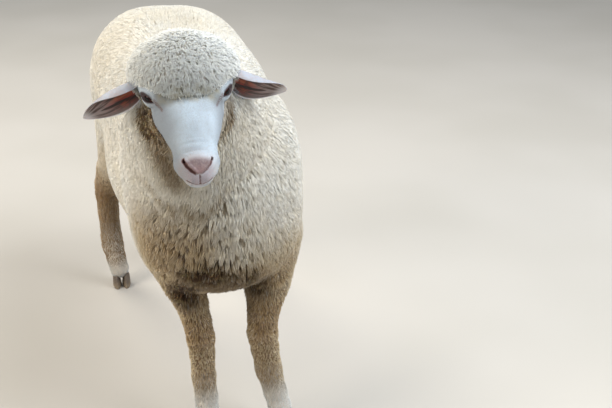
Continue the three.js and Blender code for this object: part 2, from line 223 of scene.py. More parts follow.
# ---- the skin's own lines on the head (left side, head frame, each with its radius)
def snapped(points, f, sink=0.0):
    """The points moved onto the surface where f is `sink`."""
    Q = np.array([p[:3] for p in points], float)
    for _ in range(12):
        v = f(Q) - sink
        G = np.stack([(f(Q + e) - f(Q - e)) / 0.4 for e in np.eye(3) * 0.2], 1)
        Q = Q - v[:, None] * G / np.maximum((G * G).sum(1), 1e-6)[:, None]
    return [(*Q[i], points[i][3]) for i in range(len(points))]


FUR = 1.6  # depth of the face's hair


def cheek(Q):
    """Where the fleece comes forward over the jaws, 0..1: behind a line from the eye down to the chin."""
    edge = np.interp(Q[:, 2], [-75, -60, -47, -35, -20, 0], [66, 50, 29, 10, -3, -9])
    return step((edge - Q[:, 1] + 3) / 7) * step((-3 - Q[:, 2]) / 8) * step((np.abs(Q[:, 0]) - 12) / 10)


def bare_head(q):
    return face_form(q) + FUR


NOSTRIL = snapped([(18.2, 103.0, -7.9, 2.0), (14.6, 110.4, -9.2, 1.7), (9.6, 116.8, -11.4, 1.3), (3.2, 121.4, -14.6, 0.8)], bare_head, -0.1)
ALA = snapped([(17.0, 104.0, -5.6, 1.6), (12.6, 111.6, -6.6, 2.0), (7.6, 117.2, -9.0, 1.7), (2.6, 120.8, -12.4, 1.0)], bare_head, 0.1)
PHILTRUM = snapped([(0, 122.4, -15.6, 1.0), (0, 125.4, -23.5, 0.7), (0, 126.2, -31.6, 1.0)], bare_head, 0.15)
MOUTH = snapped([(0, 126.2, -32.2, 1.7), (6, 125.6, -31.6, 1.7), (12, 123.6, -29.4, 1.5), (17, 120.0, -28.4, 1.2), (23.5, 109, -32.6, 1.0),
                 (28, 93, -37.8, 0.9), (30.5, 76, -42.5, 0.8)], bare_head, -0.1)
TEAR = snapped([(45.2, 10.6, 6.2, 1.4), (41.5, 15.8, 3.6, 1.1), (37.0, 22.4, -0.6, 0.8)], bare_head, 0.3)


def chain_field(Q, pts, k=1.5):
    return blended(Q, chain(pts), k)


def lid_frame(Q):
    e = Q - EYE
    return e @ SHUT, e @ LIFT, e @ GAZE, np.linalg.norm(e, axis=-1)


def eye_slit(Q):
    """Below zero inside the opening between the lids, seen along the gaze."""
    h, v, g, _ = lid_frame(Q)
    x = np.abs((h - 0.4) / 13.2)
    upper = 5.5 * (1 - x**2.4)
    lower = -4.4 * (1 - x**1.9)
    middle = (upper + lower) / 2 + 0.5 - 0.9 * np.clip(-h / 13.2, -1, 1)
    return np.abs(v - middle) - (upper - lower) / 2


def head_skin(q):
    """The bare head. q is in the head's frame, in its units."""
    m = np.abs(q[:, 0])
    Q = np.stack([m, q[:, 1], q[:, 2]], 1)
    a, u = Q[:, 1], Q[:, 2]
    d = bare_head(Q)
    # lips, chin and the folds over the nose
    seam = np.interp(a, [60, 76, 93, 109, 121.5, 126.5], [-44, -42.5, -37.8, -32.6, -28.6, -31.2])
    fore = step((a - 74) / 22)
    d = d + 2.7 * step((seam - u + 0.3) / 4.5) * fore
    d = d + 2.4 * step((m - 10) / 12) * step((-12 - u) / 9) * step((a - 92) / 12)
    d = d + 1.8 * np.exp(-(((m - 23) / 5) ** 2 + ((u + 17) / 8) ** 2 + ((a - 88) / 9) ** 2))
    d = d - 1.1 * np.exp(-(((seam - u - 8.5) / 3.6) ** 2)) * step((a - 98) / 14) * step((21 - m) / 8)
    d = d - 1.0 * np.exp(-((m - 9.5) ** 2 / 34 + (u + 22.5) ** 2 / 34)) * step((a - 104) / 10)
    d = d - 0.8 * np.exp(-(((a - 87.5 + m * m * 0.006) / 2.6) ** 2)) * step((26 - m) / 10) * step((u + 22) / 8)
    d = d + 1.3 * np.exp(-(((a - 94.5 + m * m * 0.004) / 2.3) ** 2)) * step((20 - m) / 9) * step((u + 18) / 8)
    d = d + 0.9 * np.exp(-(((a - 81.0 + m * m * 0.006) / 2.1) ** 2)) * step((25 - m) / 10) * step((u + 20) / 8)
    d = d + 0.3 * np.exp(-(((a - 74.0 + m * m * 0.005) / 1.7) ** 2)) * step((17 - m) / 10) * step((u + 20) / 8)
    near = a > 62
    if near.any():
        n = Q[near]
        w = d[near]
        w = smin(w, chain_field(n, ALA), 3.0)
        w = smax(w, -chain_field(n, NOSTRIL), 1.2)
        w = smax(w, -cone(n, (17.4, 104.0, -9.0), (12.6, 91.0, -20.0), 1.8, 1.1), 1.0)
        w = smax(w, -chain_field(n, PHILTRUM), 1.6)
        w = smax(w, -chain_field(n, MOUTH), 1.4)
        d[near] = w
    # sockets, lids and the slit between them
    h, v, g, r = lid_frame(Q)
    near = r < 40
    if near.any():
        n, w = Q[near], d[near]
        h, v, g, r = h[near], v[near], g[near], r[near]
        dish = np.linalg.norm(n - EYE - GAZE * (EYE_RADIUS - EYE_SHOWS - 0.8 + EYE_DISH), axis=1) - EYE_DISH
        w = smax(w, -dish, 6.0)
        w = smin(w, r - 14.7, 3.4)
        fold = np.exp(-(((v - 9.4 + h * h * 0.035) / 1.3) ** 2)) * step((13 - np.abs(h)) / 5) * (g > 0)
        under = np.exp(-(((v + 8.0 - h * h * 0.03) / 1.5) ** 2)) * step((12 - np.abs(h)) / 5) * (g > 0)
        w = w + 1.3 * fold + 0.8 * under
        w = smax(w, -chain_field(n, TEAR), 1.5)
        slit = np.maximum(eye_slit(n), -(g - 2.0))
        w = smax(w, -slit, 1.0)
        d[near] = w
    d = d + 5.0 * cheek(Q)
    # bare temples between eye and ear, and the skull under the woolly cap
    d = smin(d, egg(Q, (46, -24, -3), (15.5, 26, 17)), 9.0)
    return smin(d, egg(Q, *CAP) + 9.5, 6.0)


# lower edge of the smooth wool of the throat, as x and z: below it the chest's wool stands in locks
BIB = np.array([(-150, 552), (-140, 545), (-119, 530), (-105, 502), (-94, 493), (-81, 490), (-57, 492), (-45, 499),
                (-36, 512), (-25, 528), (-17, 542), (-6, 556), (20, 575), (70, 610)], float)


def bib(P):
    """Height above that edge."""
    return P[:, 2] - np.interp(P[:, 0], BIB[:, 0], BIB[:, 1])


def relief(P):
    """How far the tips of the coat lie inside the outer form, where the chest falls in under the throat
    and behind the shoulders."""
    v = bib(P)
    front = step((10 - P[:, 1]) / 50) * step((130 - np.abs(P[:, 0] + 30)) / 50)
    under = 3.4 * step((8 - v) / 26) * np.exp(-np.maximum(-v - 18, 0) / 60) * front
    return under


def wool_depth(P):
    return 10.5 + 1.5 * step((110 - P[:, 1]) / 120) * step((P[:, 2] - 330) / 60) + relief(P)


def leg_depth(z):
    return np.interp(z, [40, 90, 150, 230, 330, 420], [2.2, 3.0, 4.2, 5.0, 7.5, 10])


def skin(P):
    """The bare skin of the whole sheep."""
    d = np.full(len(P), 1e3)
    up = P[:, 2] > 170
    d[up] = body_form(P[up]) + wool_depth(P[up])
    for leg in LEGS.values():
        m = leg_zone(P, leg)
        bare = blended(P[m], chain(leg["joints"]), 6.0) + leg_depth(P[m, 2])
        d[m] = smin(d[m], bare, 30.0)
    m = P[:, 1] > 560
    d[m] = smin(d[m], blended(P[m], chain(TAIL), 20.0) + 8.0, 16.0)
    m = (P[:, 1] < 60) & (P[:, 2] > 500)
    d[m] = smin(d[m], head_skin(to_head(P[m])) * HEAD_SCALE, 12.0)
    return d


def in_parts(f, P, n=300000):
    return np.concatenate([f(P[i:i + n]) for i in range(0, len(P), n)]) if len(P) else np.zeros(0)


def slope(f, P, e=0.5):
    """Gradient of f, from four corners of a small tetrahedron."""
    K = np.array([[1, -1, -1], [-1, -1, 1], [-1, 1, -1], [1, 1, 1]], float)
    return sum(k * in_parts(f, P + k * e)[:, None] for k in K) / (4 * e)


def unit(v):
    return v / np.maximum(np.linalg.norm(v, axis=-1, keepdims=True), 1e-9)


# ------------------------------------------------------------------------------- a net over a field
def spaced(parts):
    out = []
    for lo, hi, h in parts:
        n = max(1, int(round((hi - lo) / h)))
        out.append(np.linspace(lo, hi, n, endpoint=False))
    out.append(np.array([parts[-1][1]]))
    return np.concatenate(out)


def net(f, axes, block=6):
    """A quad net over f = 0, on a grid with its own spacing along each axis. Only the cells near
    the surface are worked out."""
    X = [np.pad(x, (0, (-(len(x) - 1)) % block + 0), mode="linear_ramp", end_values=x[-1] + 30) for x in axes]
    n = [len(x) for x in X]
    nb = [(k - 1) // block for k in n]
    mid = [0.5 * (x[0:-1:block][:b] + x[block::block][:b]) for x, b in zip(X, nb)]
    half = [0.5 * (x[block::block][:b] - x[0:-1:block][:b]) for x, b in zip(X, nb)]
    C = np.stack(np.meshgrid(*mid, indexing="ij"), -1).reshape(-1, 3)
    H = np.stack(np.meshgrid(*half, indexing="ij"), -1).reshape(-1, 3)
    v = in_parts(f, C)
    live = (np.abs(v) < 1.35 * np.linalg.norm(H, axis=1) + 3).reshape(nb)
    V = v.reshape(nb)
    F = V.astype(np.float32)
    for ax in range(3):
        F = np.repeat(F, block, axis=ax)
    F = np.pad(F, [(0, n[i] - F.shape[i]) for i in range(3)], mode="edge")
    L = live
    for ax in range(3):
        L = np.repeat(L, block, axis=ax)
    L = np.pad(L, [(0, n[i] - L.shape[i]) for i in range(3)], mode="edge")
    for ax in range(3):
        cut = [slice(None)] * 3
        cut[ax] = slice(1, None)
        back = [slice(None)] * 3
        back[ax] = slice(0, -1)
        G = L.copy()
        G[tuple(cut)] |= L[tuple(back)]
        L = G
    I = np.argwhere(L)
    P = np.stack([X[k][I[:, k]] for k in range(3)], 1)
    F[L] = in_parts(f, P)
    S = F < 0
    corner = [(i, j, k) for i in (0, 1) for j in (0, 1) for k in (0, 1)]
    sl = lambda i, m: slice(i, m - 1 + i)
    cs = [S[sl(i, n[0]), sl(j, n[1]), sl(k, n[2])] for i, j, k in corner]
    act = np.logical_or.reduce(cs) & ~np.logical_and.reduce(cs)
    index = -np.ones(act.shape, np.int64)
    I = np.argwhere(act)
    index[act] = np.arange(len(I))
    V = np.zeros((len(I), 3))
    count = np.zeros(len(I))
    fc = [F[I[:, 0] + i, I[:, 1] + j, I[:, 2] + k] for i, j, k in corner]
    for a in range(8):
        for b in range(a + 1, 8):
            if np.abs(np.array(corner[a]) - np.array(corner[b])).sum() != 1:
                continue
            fa, fb = fc[a], fc[b]
            m = (fa < 0) != (fb < 0)
            t = np.where(m, fa / np.where(m, fa - fb, 1), 0)
            p = np.array(corner[a])[None] + (np.array(corner[b]) - np.array(corner[a]))[None] * t[:, None]
            V += np.where(m[:, None], p, 0)
            count += m
    V = V / count[:, None] + I
    V = np.stack([np.interp(V[:, k], np.arange(n[k]), X[k]) for k in range(3)], 1)
    faces = []
    for ax in range(3):
        s0 = [slice(1, m - 1) for m in n]
        s1 = list(s0)
        s0[ax], s1[ax] = slice(0, n[ax] - 1), slice(1, n[ax])
        A, B = S[tuple(s0)], S[tuple(s1)]
        E = np.argwhere(A != B)
        E0 = E.copy()
        for k in range(3):
            if k != ax:
                E0[:, k] += 1
        inside = A[E[:, 0], E[:, 1], E[:, 2]]
        p, q = [(1, 2), (2, 0), (0, 1)][ax]

        def at(dp, dq):
            G = E0.copy()
            G[:, p] += dp
            G[:, q] += dq
            return index[G[:, 0], G[:, 1], G[:, 2]]

        quad = np.stack([at(-1, -1), at(0, -1), at(0, 0), at(-1, 0)], 1)
        quad[~inside] = quad[~inside][:, ::-1]
        faces.append(quad)
    return V, np.concatenate(faces)


# ------------------------------------------------------------------------------- meshes
def make_mesh(name, V, loops, sizes, uv=None, attributes=None, mats=(), mat_index=None, smooth=True,
              normals=None):
    """A mesh from arrays: V in the sheep's frame and mm, loops a flat list of vertex numbers."""
    me = bpy.data.meshes.new(name)
    me.vertices.add(len(V))
    me.vertices.foreach_set("co", ((V + SHIFT) * 0.001).astype(np.float32).ravel())
    me.loops.add(len(loops))
    me.loops.foreach_set("vertex_index", loops.astype(np.int32))
    me.polygons.add(len(sizes))
    starts = np.concatenate([[0], np.cumsum(sizes)[:-1]]).astype(np.int32)
    me.polygons.foreach_set("loop_start", starts)
    try:
        me.polygons.foreach_set("loop_total", sizes.astype(np.int32))
    except (AttributeError, TypeError, RuntimeError):
        pass
    me.update(calc_edges=True)
    me.polygons.foreach_set("use_smooth", np.full(len(sizes), smooth))
    if uv is not None:
        layer = me.uv_layers.new(name="OFBake", do_init=False)
        layer.uv.foreach_set("vector", uv.astype(np.float32).ravel())
    for key, value in (attributes or {}).items():
        at = me.attributes.new(key, "FLOAT", "POINT")
        at.data.foreach_set("value", np.asarray(value, np.float32))
    for m in mats:
        me.materials.append(m)
    if mat_index is not None:
        me.polygons.foreach_set("material_index", mat_index.astype(np.int32))
    me.validate()
    if normals is not None:
        me.normals_split_custom_set_from_vertices(normals.astype(np.float32))
    ob = bpy.data.objects.new(name, me)
    bpy.context.scene.collection.objects.link(ob)
    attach(ob, "root")
    return ob


# ---- the skin's net
head_lo = from_head([(s, a, u) for s in (-66, 66) for a in (-30, 132) for u in (-72, 22)]).min(0)
head_hi = from_head([(s, a, u) for s in (-66, 66) for a in (-30, 132) for u in (-72, 22)]).max(0)
FINE, COARSE = 1.5, 4.6
AXES = [
    spaced([(-185, head_lo[0], COARSE), (head_lo[0], head_hi[0], FINE), (head_hi[0], 185, COARSE)]),
    spaced([(head_lo[1] - 8, -95, FINE), (-95, 775, COARSE + 0.4)]),
    spaced([(10, head_lo[2] + 20, COARSE), (head_lo[2] + 20, head_hi[2] - 10, FINE), (head_hi[2] - 10, 790, COARSE)]),
]
SV, SQ = net(skin, AXES)
for _ in range(2):
    g = slope(skin, SV, 0.35)
    g2 = np.maximum((g * g).sum(1), 0.15)
    move = -in_parts(skin, SV)[:, None] * g / g2[:, None]
    reach = np.linalg.norm(move, axis=1, keepdims=True)
    SV = SV + move * np.minimum(1, 1.2 / np.maximum(reach, 1e-9))
SN = unit(slope(skin, SV, 0.6))


# ---- an unwrap of the skin's own shape: each part is rolled off its axis like a sleeve
def smooth_line(points, n=60):
    P = np.array(points, float)
    t = np.concatenate([[0], np.cumsum(np.linalg.norm(np.diff(P, axis=0), axis=1))])
    s = np.linspace(0, t[-1], n)
    return np.stack([np.interp(s, t, P[:, k]) for k in range(3)], 1)


SLEEVES = [
    dict(axis=smooth_line([(6, 612, 505), (5, 450, 500), (1, 300, 492), (-4, 160, 492), (-14, 66, 522), (-36, 14, 580), (-55, -20, 636), tuple(NECK_TOP)]),
         end=110, u=(0.01, 0.985), v=(0.45, 0.965), along="u"),
    dict(axis=smooth_line(from_head([(0, -58, -12), (0, -20, -22), (0, 30, -30), (0, 92, -32)])), end=30, u=(0.01, 0.30), v=(0.02, 0.41), along="u"),
] + [dict(axis=smooth_line(leg["axis"] + [(leg["axis"][-1][0], leg["axis"][-1][1] - 4, 34)]), end=26,
          u=(0.32 + 0.115 * i, 0.415 + 0.115 * i), v=(0.02, 0.42), along="v") for i, leg in enumerate(LEGS.values())
] + [dict(axis=smooth_line([(4, 688, 576), (4, 708, 536), (4, 718, 468)]), end=24, u=(0.785, 0.845), v=(0.02, 0.42), along="v")]


def sleeve(P, part):
    """(along 0..1, round 0..1) of points on a part."""
    A = part["axis"]
    seg = A[1:] - A[:-1]
    length = np.linalg.norm(seg, axis=1)
    at = np.concatenate([[0], np.cumsum(length)])
    best = np.full(len(P), 1e18)
    t = np.zeros(len(P))
    W = np.zeros((len(P), 3))
    T = np.zeros((len(P), 3))
    for i in range(len(seg)):
        x = np.clip(((P - A[i]) @ seg[i]) / length[i] ** 2, 0, 1)
        w = P - A[i] - x[:, None] * seg[i]
        d = (w * w).sum(1)
        m = d < best
        best[m] = d[m]
        t[m] = at[i] + x[m] * length[i]
        W[m] = w[m]
        T[m] = seg[i] / length[i]
    right = unit(np.array([1.0, 0, 0]) - T * T[:, :1])
    third = np.cross(right, T)
    turn = np.arctan2((W * third).sum(1), (W * right).sum(1)) / (2 * math.pi) + 0.5
    over = (W * T).sum(1)
    side = np.linalg.norm(W - over[:, None] * T, axis=1)
    extra = np.arctan2(np.abs(over), side) * part["end"] * np.sign(over)
    cap = part["end"] * math.pi / 2
    return (cap + t + extra) / (at[-1] + 2 * cap), turn


def sleeve_uv(P, part, ref_turn=None):
    along, turn = sleeve(P, part)
    if ref_turn is not None:
        turn = turn + np.round(ref_turn - turn)
    u0, u1 = part["u"]
    v0, v1 = part["v"]
    if part["along"] == "u":
        return np.stack([u0 + (u1 - u0) * along, v0 + (v1 - v0) * turn], 1), turn
    return np.stack([u0 + (u1 - u0) * turn, v0 + (v1 - v0) * along], 1), turn


def part_of(P):
    """Which sleeve each point belongs to."""
    d = np.full((len(P), len(SLEEVES)), 1e3)
    up = P[:, 2] > 170
    d[up, 0] = body_form(P[up]) + wool_depth(P[up])
    m = (P[:, 1] < 60) & (P[:, 2] > 500)
    d[m, 1] = head_skin(to_head(P[m])) * HEAD_SCALE
    for i, leg in enumerate(LEGS.values()):
        m = leg_zone(P, leg)
        d[m, 2 + i] = blended(P[m], chain(leg["joints"]), 6.0) + leg_depth(P[m, 2]) + 1.0
    m = P[:, 1] > 560
    d[m, 6] = blended(P[m], chain(TAIL), 20.0) + 8.0
    return d.argmin(1)


centres = SV[SQ].mean(1)
quad_part = part_of(centres)
quad_uv = np.zeros((len(SQ), 4, 2))
for i, part in enumerate(SLEEVES):
    m = quad_part == i
    if not m.any():
        continue
    _, ref = sleeve(centres[m], part)
    for k in range(4):
        quad_uv[m, k], _ = sleeve_uv(SV[SQ[m, k]], part, ref)


# ---- ears, as cupped leaves of two sides with a rim between them
def ear_leaf(handed, inset=0.4, nt=46, na=30):
    E = EARS[handed]
    base, tip = np.array(E["root"], float), np.array(E["tip"], float)
    way = tip - base
    length = np.linalg.norm(way)
    way /= length
    out = np.array(E["open"])
    out = unit(out - way * (out @ way))
    rim = np.cross(way, out)
    if rim[2] < 0:
        rim = -rim
    t = np.linspace(-0.17, 1.0, nt)
    s = np.sin(np.linspace(-math.pi / 2, math.pi / 2, na))
    t, s = np.meshgrid(t, s, indexing="ij")
    half = 31.0 * np.sin(math.pi * np.minimum(1, t * 0.78 + 0.22)) ** 0.8 + 1.0 - inset
    half = half * (1 + step(s / 0.6) * (E["broad"] * (1 - step((t - 0.1) / 0.55)) - E["slim"] * step((t - 0.4) / 0.45)))
    curl = np.radians(92.0 * (1 - t) ** 1.1 + 28)
    arc, r = s * curl, half / curl
    wave = 0.9 * np.sin(7 * t + 2.0 * s) * s * s  # the rim isn't quite even
    thick0 = 3.0 * (1 - 0.35 * t) * (1 - 0.35 * s * s) - 2 * inset
    ribs = sum(np.exp(-(((s - c - 0.12 * (1 - t)) / 0.055) ** 2)) for c in (-0.5, -0.2, 0.12, 0.42)) * step(t / 0.25) * step((0.95 - t) / 0.3)
    sides = []
    for face in (-1, 1):
        if face < 0:
            off = -thick0 / 2
        else:
            off = thick0 / 2 + 0.55 * ribs
        p = (base + way * (t * length)[..., None] + out * (r - (r - off) * np.cos(arc))[..., None]
             + rim * ((r - off) * np.sin(arc) + E["bow"] * np.sin(math.pi * np.clip(t, 0, 1)) + wave)[..., None])
        sides.append(p.reshape(-1, 3))
    n = nt * na
    V = np.concatenate(sides)
    quads, which = [], []
    idx = np.arange(n).reshape(nt, na)
    a, b, c, d = idx[:-1, :-1].ravel(), idx[1:, :-1].ravel(), idx[1:, 1:].ravel(), idx[:-1, 1:].ravel()
    quads += [np.stack([a, b, c, d], 1), np.stack([a, d, c, b], 1) + n]
    which += [np.zeros(len(a), int), np.ones(len(a), int)]
    edge = np.concatenate([idx[:, 0], idx[-1, 1:], idx[::-1, -1][1:], idx[0, ::-1][1:-1]])
    nxt = np.roll(edge, -1)
    quads.append(np.stack([edge, edge + n, nxt + n, nxt], 1))
    which.append(np.full(len(edge), 2))
    Q = np.concatenate(quads)
    which = np.concatenate(which)
    W = from_head(V)
    # faces point out of the leaf
    p = W[Q[: len(a)]]
    nrm = np.cross(p[:, 2] - p[:, 0], p[:, 3] - p[:, 1]).sum(0)
    away = (W[:n] - W[n:]).sum(0)
    if nrm @ away < 0:
        Q = Q[:, ::-1]
    tt = np.concatenate([t.ravel(), t.ravel()])
    ss = np.concatenate([s.ravel(), s.ravel()])
    return W, Q, which, tt, ss, (way @ HR, out @ HR, rim @ HR), ribs.ravel()


ear_parts = {}
V_all, Q_all, uv_all = [SV], [SQ], [quad_uv]
kind_all = [np.zeros(len(SQ), int)]
count = len(SV)
ear_v0 = {"right": 0.02, "left": 0.23}
for handed in ("right", "left"):
    W, Q, which, tt, ss, frame_, ribs = ear_leaf(handed)
    x = np.clip((tt + 0.17) / 1.17, 0, 1)
    y = ss * 0.5 + 0.5
    n = len(W) // 2
    uvv = np.stack([0.865 + 0.058 * y, ear_v0[handed] + 0.19 * x], 1)
    uvv[n:, 0] += 0.066
    quv = uvv[Q].copy()
    edge = which == 2
    quv[edge, :, 0] = np.where(np.isin(Q[edge] >= n, [True]), quv[edge, :, 0] - 0.066 + 0.0015, quv[edge, :, 0])
    ear_parts[handed] = dict(W=W, Q=Q, which=which, t=tt, s=ss, axes=frame_, uv=quv, offset=count, n=n)
    V_all.append(W)
    Q_all.append(Q + count)
    uv_all.append(quv)
    kind_all.append(which + 1)
    count += len(W)
V_all, Q_all, uv_all, kind_all = (np.concatenate(x) for x in (V_all, Q_all, uv_all, kind_all))


# ---- what the skin shows where: each mark is a formula of the place on the head or leg
def marks(P):
    """Face, nose, dark lines, lids and so on, 0..1 at each point."""
    out = {k: np.zeros(len(P)) for k in ("face", "hollow", "sand", "nose", "lip", "line", "lid", "tear")}
    m = (P[:, 1] < 30) & (P[:, 2] > 520)
    q = to_head(P[m])
    Q = np.stack([np.abs(q[:, 0]), q[:, 1], q[:, 2]], 1)
    s, a, u = Q.T
    hairy = -outer(P[m])
    out["face"][m] = step((6.5 - hairy) / 3.0) * step((a + 62) / 20)
    temple = step((s - 43) / 5) * step((a + 40) / 10) * step((14 - u) / 5) * step((16 - a) / 5) * step((u + 16) / 6)
    out["face"][m] = np.maximum(out["face"][m] * (1 - cheek(Q)), temple)
    # painted shade on the face's sides and before the eyes, with greyer hair there; sandy hair under the cap's edge
    out["hollow"][m], out["sand"][m] = hollow(q)
    vu = np.interp(s, [3.2, 9.5, 14.5, 18.5, 21], [-14.8, -11.8, -9.6, -8.2, -7])
    out["nose"][m] = step((a - 100 - 2 * step((s - 8) / 9)) / 9) * step((u - vu + 0.4) / 1.8) * step((20.5 - s) / 5)
    out["lip"][m] = step((a - 106) / 9) * step((vu - u) / 2.4) * step((22 - s) / 9) * step((u + 33) / 3)
    lips = np.minimum(chain_field(Q, MOUTH) - 0.4 + 1.5 * step((s - 12) / 9), chain_field(Q, PHILTRUM) + 0.5)
    groove = chain_field(Q, NOSTRIL) + 0.1
    hole = cone(Q, (17.4, 104.0, -9.0), (12.6, 91.0, -20.0), 1.8, 1.1) + 0.3
    line = np.maximum(0.95 * step((1.3 - lips) / 1.3), step((0.8 - groove) / 1.1) * np.interp(s, [2, 6, 11, 15], [0.55, 0.7, 0.8, 0.95]))
    # painted shade: on the right side, turned from the light, the dark line under the nostril is drawn wider
    line = np.where(q[:, 0] < 0, np.maximum(line, 0.8 * step((2.4 - groove) / 1.8) * step((s - 3) / 3)), line)
    out["line"][m] = np.maximum(line, step((1.0 - hole) / 1.2)) * (a > 60)
    h, v, g, r = lid_frame(Q)
    slit = eye_slit(Q)
    out["lid"][m] = step((3.0 - 1.1 * step((-v - 1) / 3) - slit) / 2.2) * (r < 19) * (g > -2)
    out["tear"][m] = step((2.2 - chain_field(Q, TEAR)) / 2.2)
    return out


def hollow(Q):
    """Where the face is painted darker and greyer, 0..1: painted shade on its sides, which turn from the light, most on
    the right side, and in the hollows before the eyes, with the hair there a little greyer too; and where it is sandy,
    under the edge of the cap."""
    s, a, u = Q.T
    right = s < 0
    s = np.abs(s)
    # painted shade on the sides of the face, which turn from the light
    sides = step((s - np.interp(a, [0, 40, 80, 100], [34, 25, 22, 24])) / 14) * step((a - 2) / 16) * step((112 - a) / 20)
    # painted shade in the hollows before the eyes
    before = 0.8 * np.exp(-((s - 36) ** 2 / 60 + (a - 18) ** 2 / 110 + (u + 2) ** 2 / 120))
    # painted shade: the right side of the face, turned from the light, is darker and greyer down to the lips
    sides = np.where(right, 1.3 * step((s - np.interp(a, [0, 40, 80, 118], [18, 13, 11, 3])) / 24) * step((a + 4) / 16), sides)
    sand = step((11 - egg(Q, *CAP)) / 12) * step((a + 12) / 10) * step((46 - s) / 10)
    return np.clip(np.maximum(0.75 * sides, before), 0, 1), sand


JAW = [[-126, -97, 656, 0], [-121, -98, 640, 0], [-114, -98, 620, 0], [-107, -97, 602, 0], [-101, -96, 585, 0], [-96, -94, 570, 0], [-90, -92, 558, 0]]


def tones(P):
    """Where the wool is painted darker, 0..1, by place on the sheep, for skin and coat. The first mask is mostly
    painted shade, with some real dust and grease: beside the face and jaws, under the brisket and throat, between and
    inside the forelegs, in the fold under the throat's wool and on the chest's right side. The second darkens the lower
    chest, belly and hind thighs: partly dust, partly painted shade where the light from above falls off.
    """
    x, y, z = P.T
    dusk = np.zeros(len(P))
    # painted shade on the wool beside the face and jaws: darkest next to the face, weaker on the left side and lower
    # down
    m = (y < 80) & (z > 470)
    q = to_head(P[m])
    Q = np.stack([np.abs(q[:, 0]), q[:, 1], q[:, 2]], 1)
    near = face_form(Q) * HEAD_SCALE * np.where(q[:, 0] > 0, 2.0, 1.0)
    dusk[m] = (step((9.5 - near) / 8) * step((Q[:, 1] + 42) / 24) * np.where(q[:, 0] > 0, 0.75, 1.0)
               * step((4 - Q[:, 2]) / 10) * (0.3 * (q[:, 0] < 0) + 0.7 * step((z[m] - 606) / 30)))
    # painted shade under the brisket, with some dust
    e = np.sqrt(((x + 46) / 38) ** 2 + ((y + 70) / 60) ** 2 + ((z - 384) / 25) ** 2)
    dusk = np.maximum(dusk, step((1.5 - e) / 0.8))
    e = np.sqrt(((x + 18) / 60) ** 2 + ((y + 64) / 60) ** 2 + ((z - 364) / 32) ** 2)
    dusk = np.maximum(dusk, 0.72 * step((1.5 - e) / 0.8))
    # painted shade inside the forelegs
    inner = step((56 - np.abs(x - 4)) / 26) * step((z - 215) / 60) * step((372 - z) / 40) * step((90 - y) / 50)
    dusk = np.maximum(dusk, 0.85 * inner)
    # painted shade in the recesses between the forelegs and the chest, under the throat and under the head
    for c, r, most in (((-75, -33, 326), (30, 60, 48), 1.0), ((46, -26, 326), (26, 60, 40), 0.85), ((23, -48, 364), (14, 50, 24), 1.0),
                       ((-92, -80, 514), (32, 34, 9), 0.4), ((-17, -108, 656), (7, 18, 22), 0.7)):
        e = np.sqrt((((np.stack([x, y, z], 1) - c) / r) ** 2).sum(1))
        dusk = np.maximum(dusk, most * step((1.35 - e) / 0.8))
    # painted shade on the throat's wool along the right jaw, with some dust: darkest at the jaw, fading over about 20
    # mm
    d = chain_field(P[m], JAW, 4.0)
    dusk[m] = np.maximum(dusk[m], 0.85 * np.exp(-(np.maximum(d, 0) / 21) ** 2))
    # painted shade in the fold along the lower edge of the throat's smooth wool, broken up along it and weaker towards
    # the left side
    v = bib(P)
    front = step((0 - y) / 50) * step((120 - np.abs(x + 35)) / 50)
    broken = 0.35 + 0.65 * step(0.55 + 0.7 * np.sin(x * 0.36 + 1.9 * np.sin(z * 0.21 + 0.8) + 0.05 * y))
    dusk = np.maximum(dusk, 0.62 * broken * np.exp(-(((v - 10 + 8 * step((x + 70) / 40)) / 12) ** 2)) * front * (1 - 0.7 * step((x + 40) / 45)))
    # painted shade on the chest's right side, which is turned from the light
    dusk = np.maximum(dusk, 0.34 * step((-58 - x) / 40) * step((528 - z) / 40) * step((z - 372) / 30) * step((20 - y) / 60))
    # darker lower chest and belly: partly dust, partly painted shade where the light from above falls off; less on the
    # left side, which faces the light
    lit_left = np.minimum(step((x + 62) / 60), step((z - 378) / 50))
    low_ = step((535 - z) / 105) * step((70 - y) / 80) * (1 - 0.72 * lit_left * (1 - 0.55 * step((x - 2) / 34) * step((462 - z) / 50)))
    # darker hind thighs: partly dust, partly painted shade
    low_ = np.maximum(low_, 0.9 * step((400 - z) / 120) * step((y - 440) / 80))
    low_ = np.maximum(low_, 0.6 * step((435 - z) / 90) * step((y - 60) / 60))
    return dusk, low_


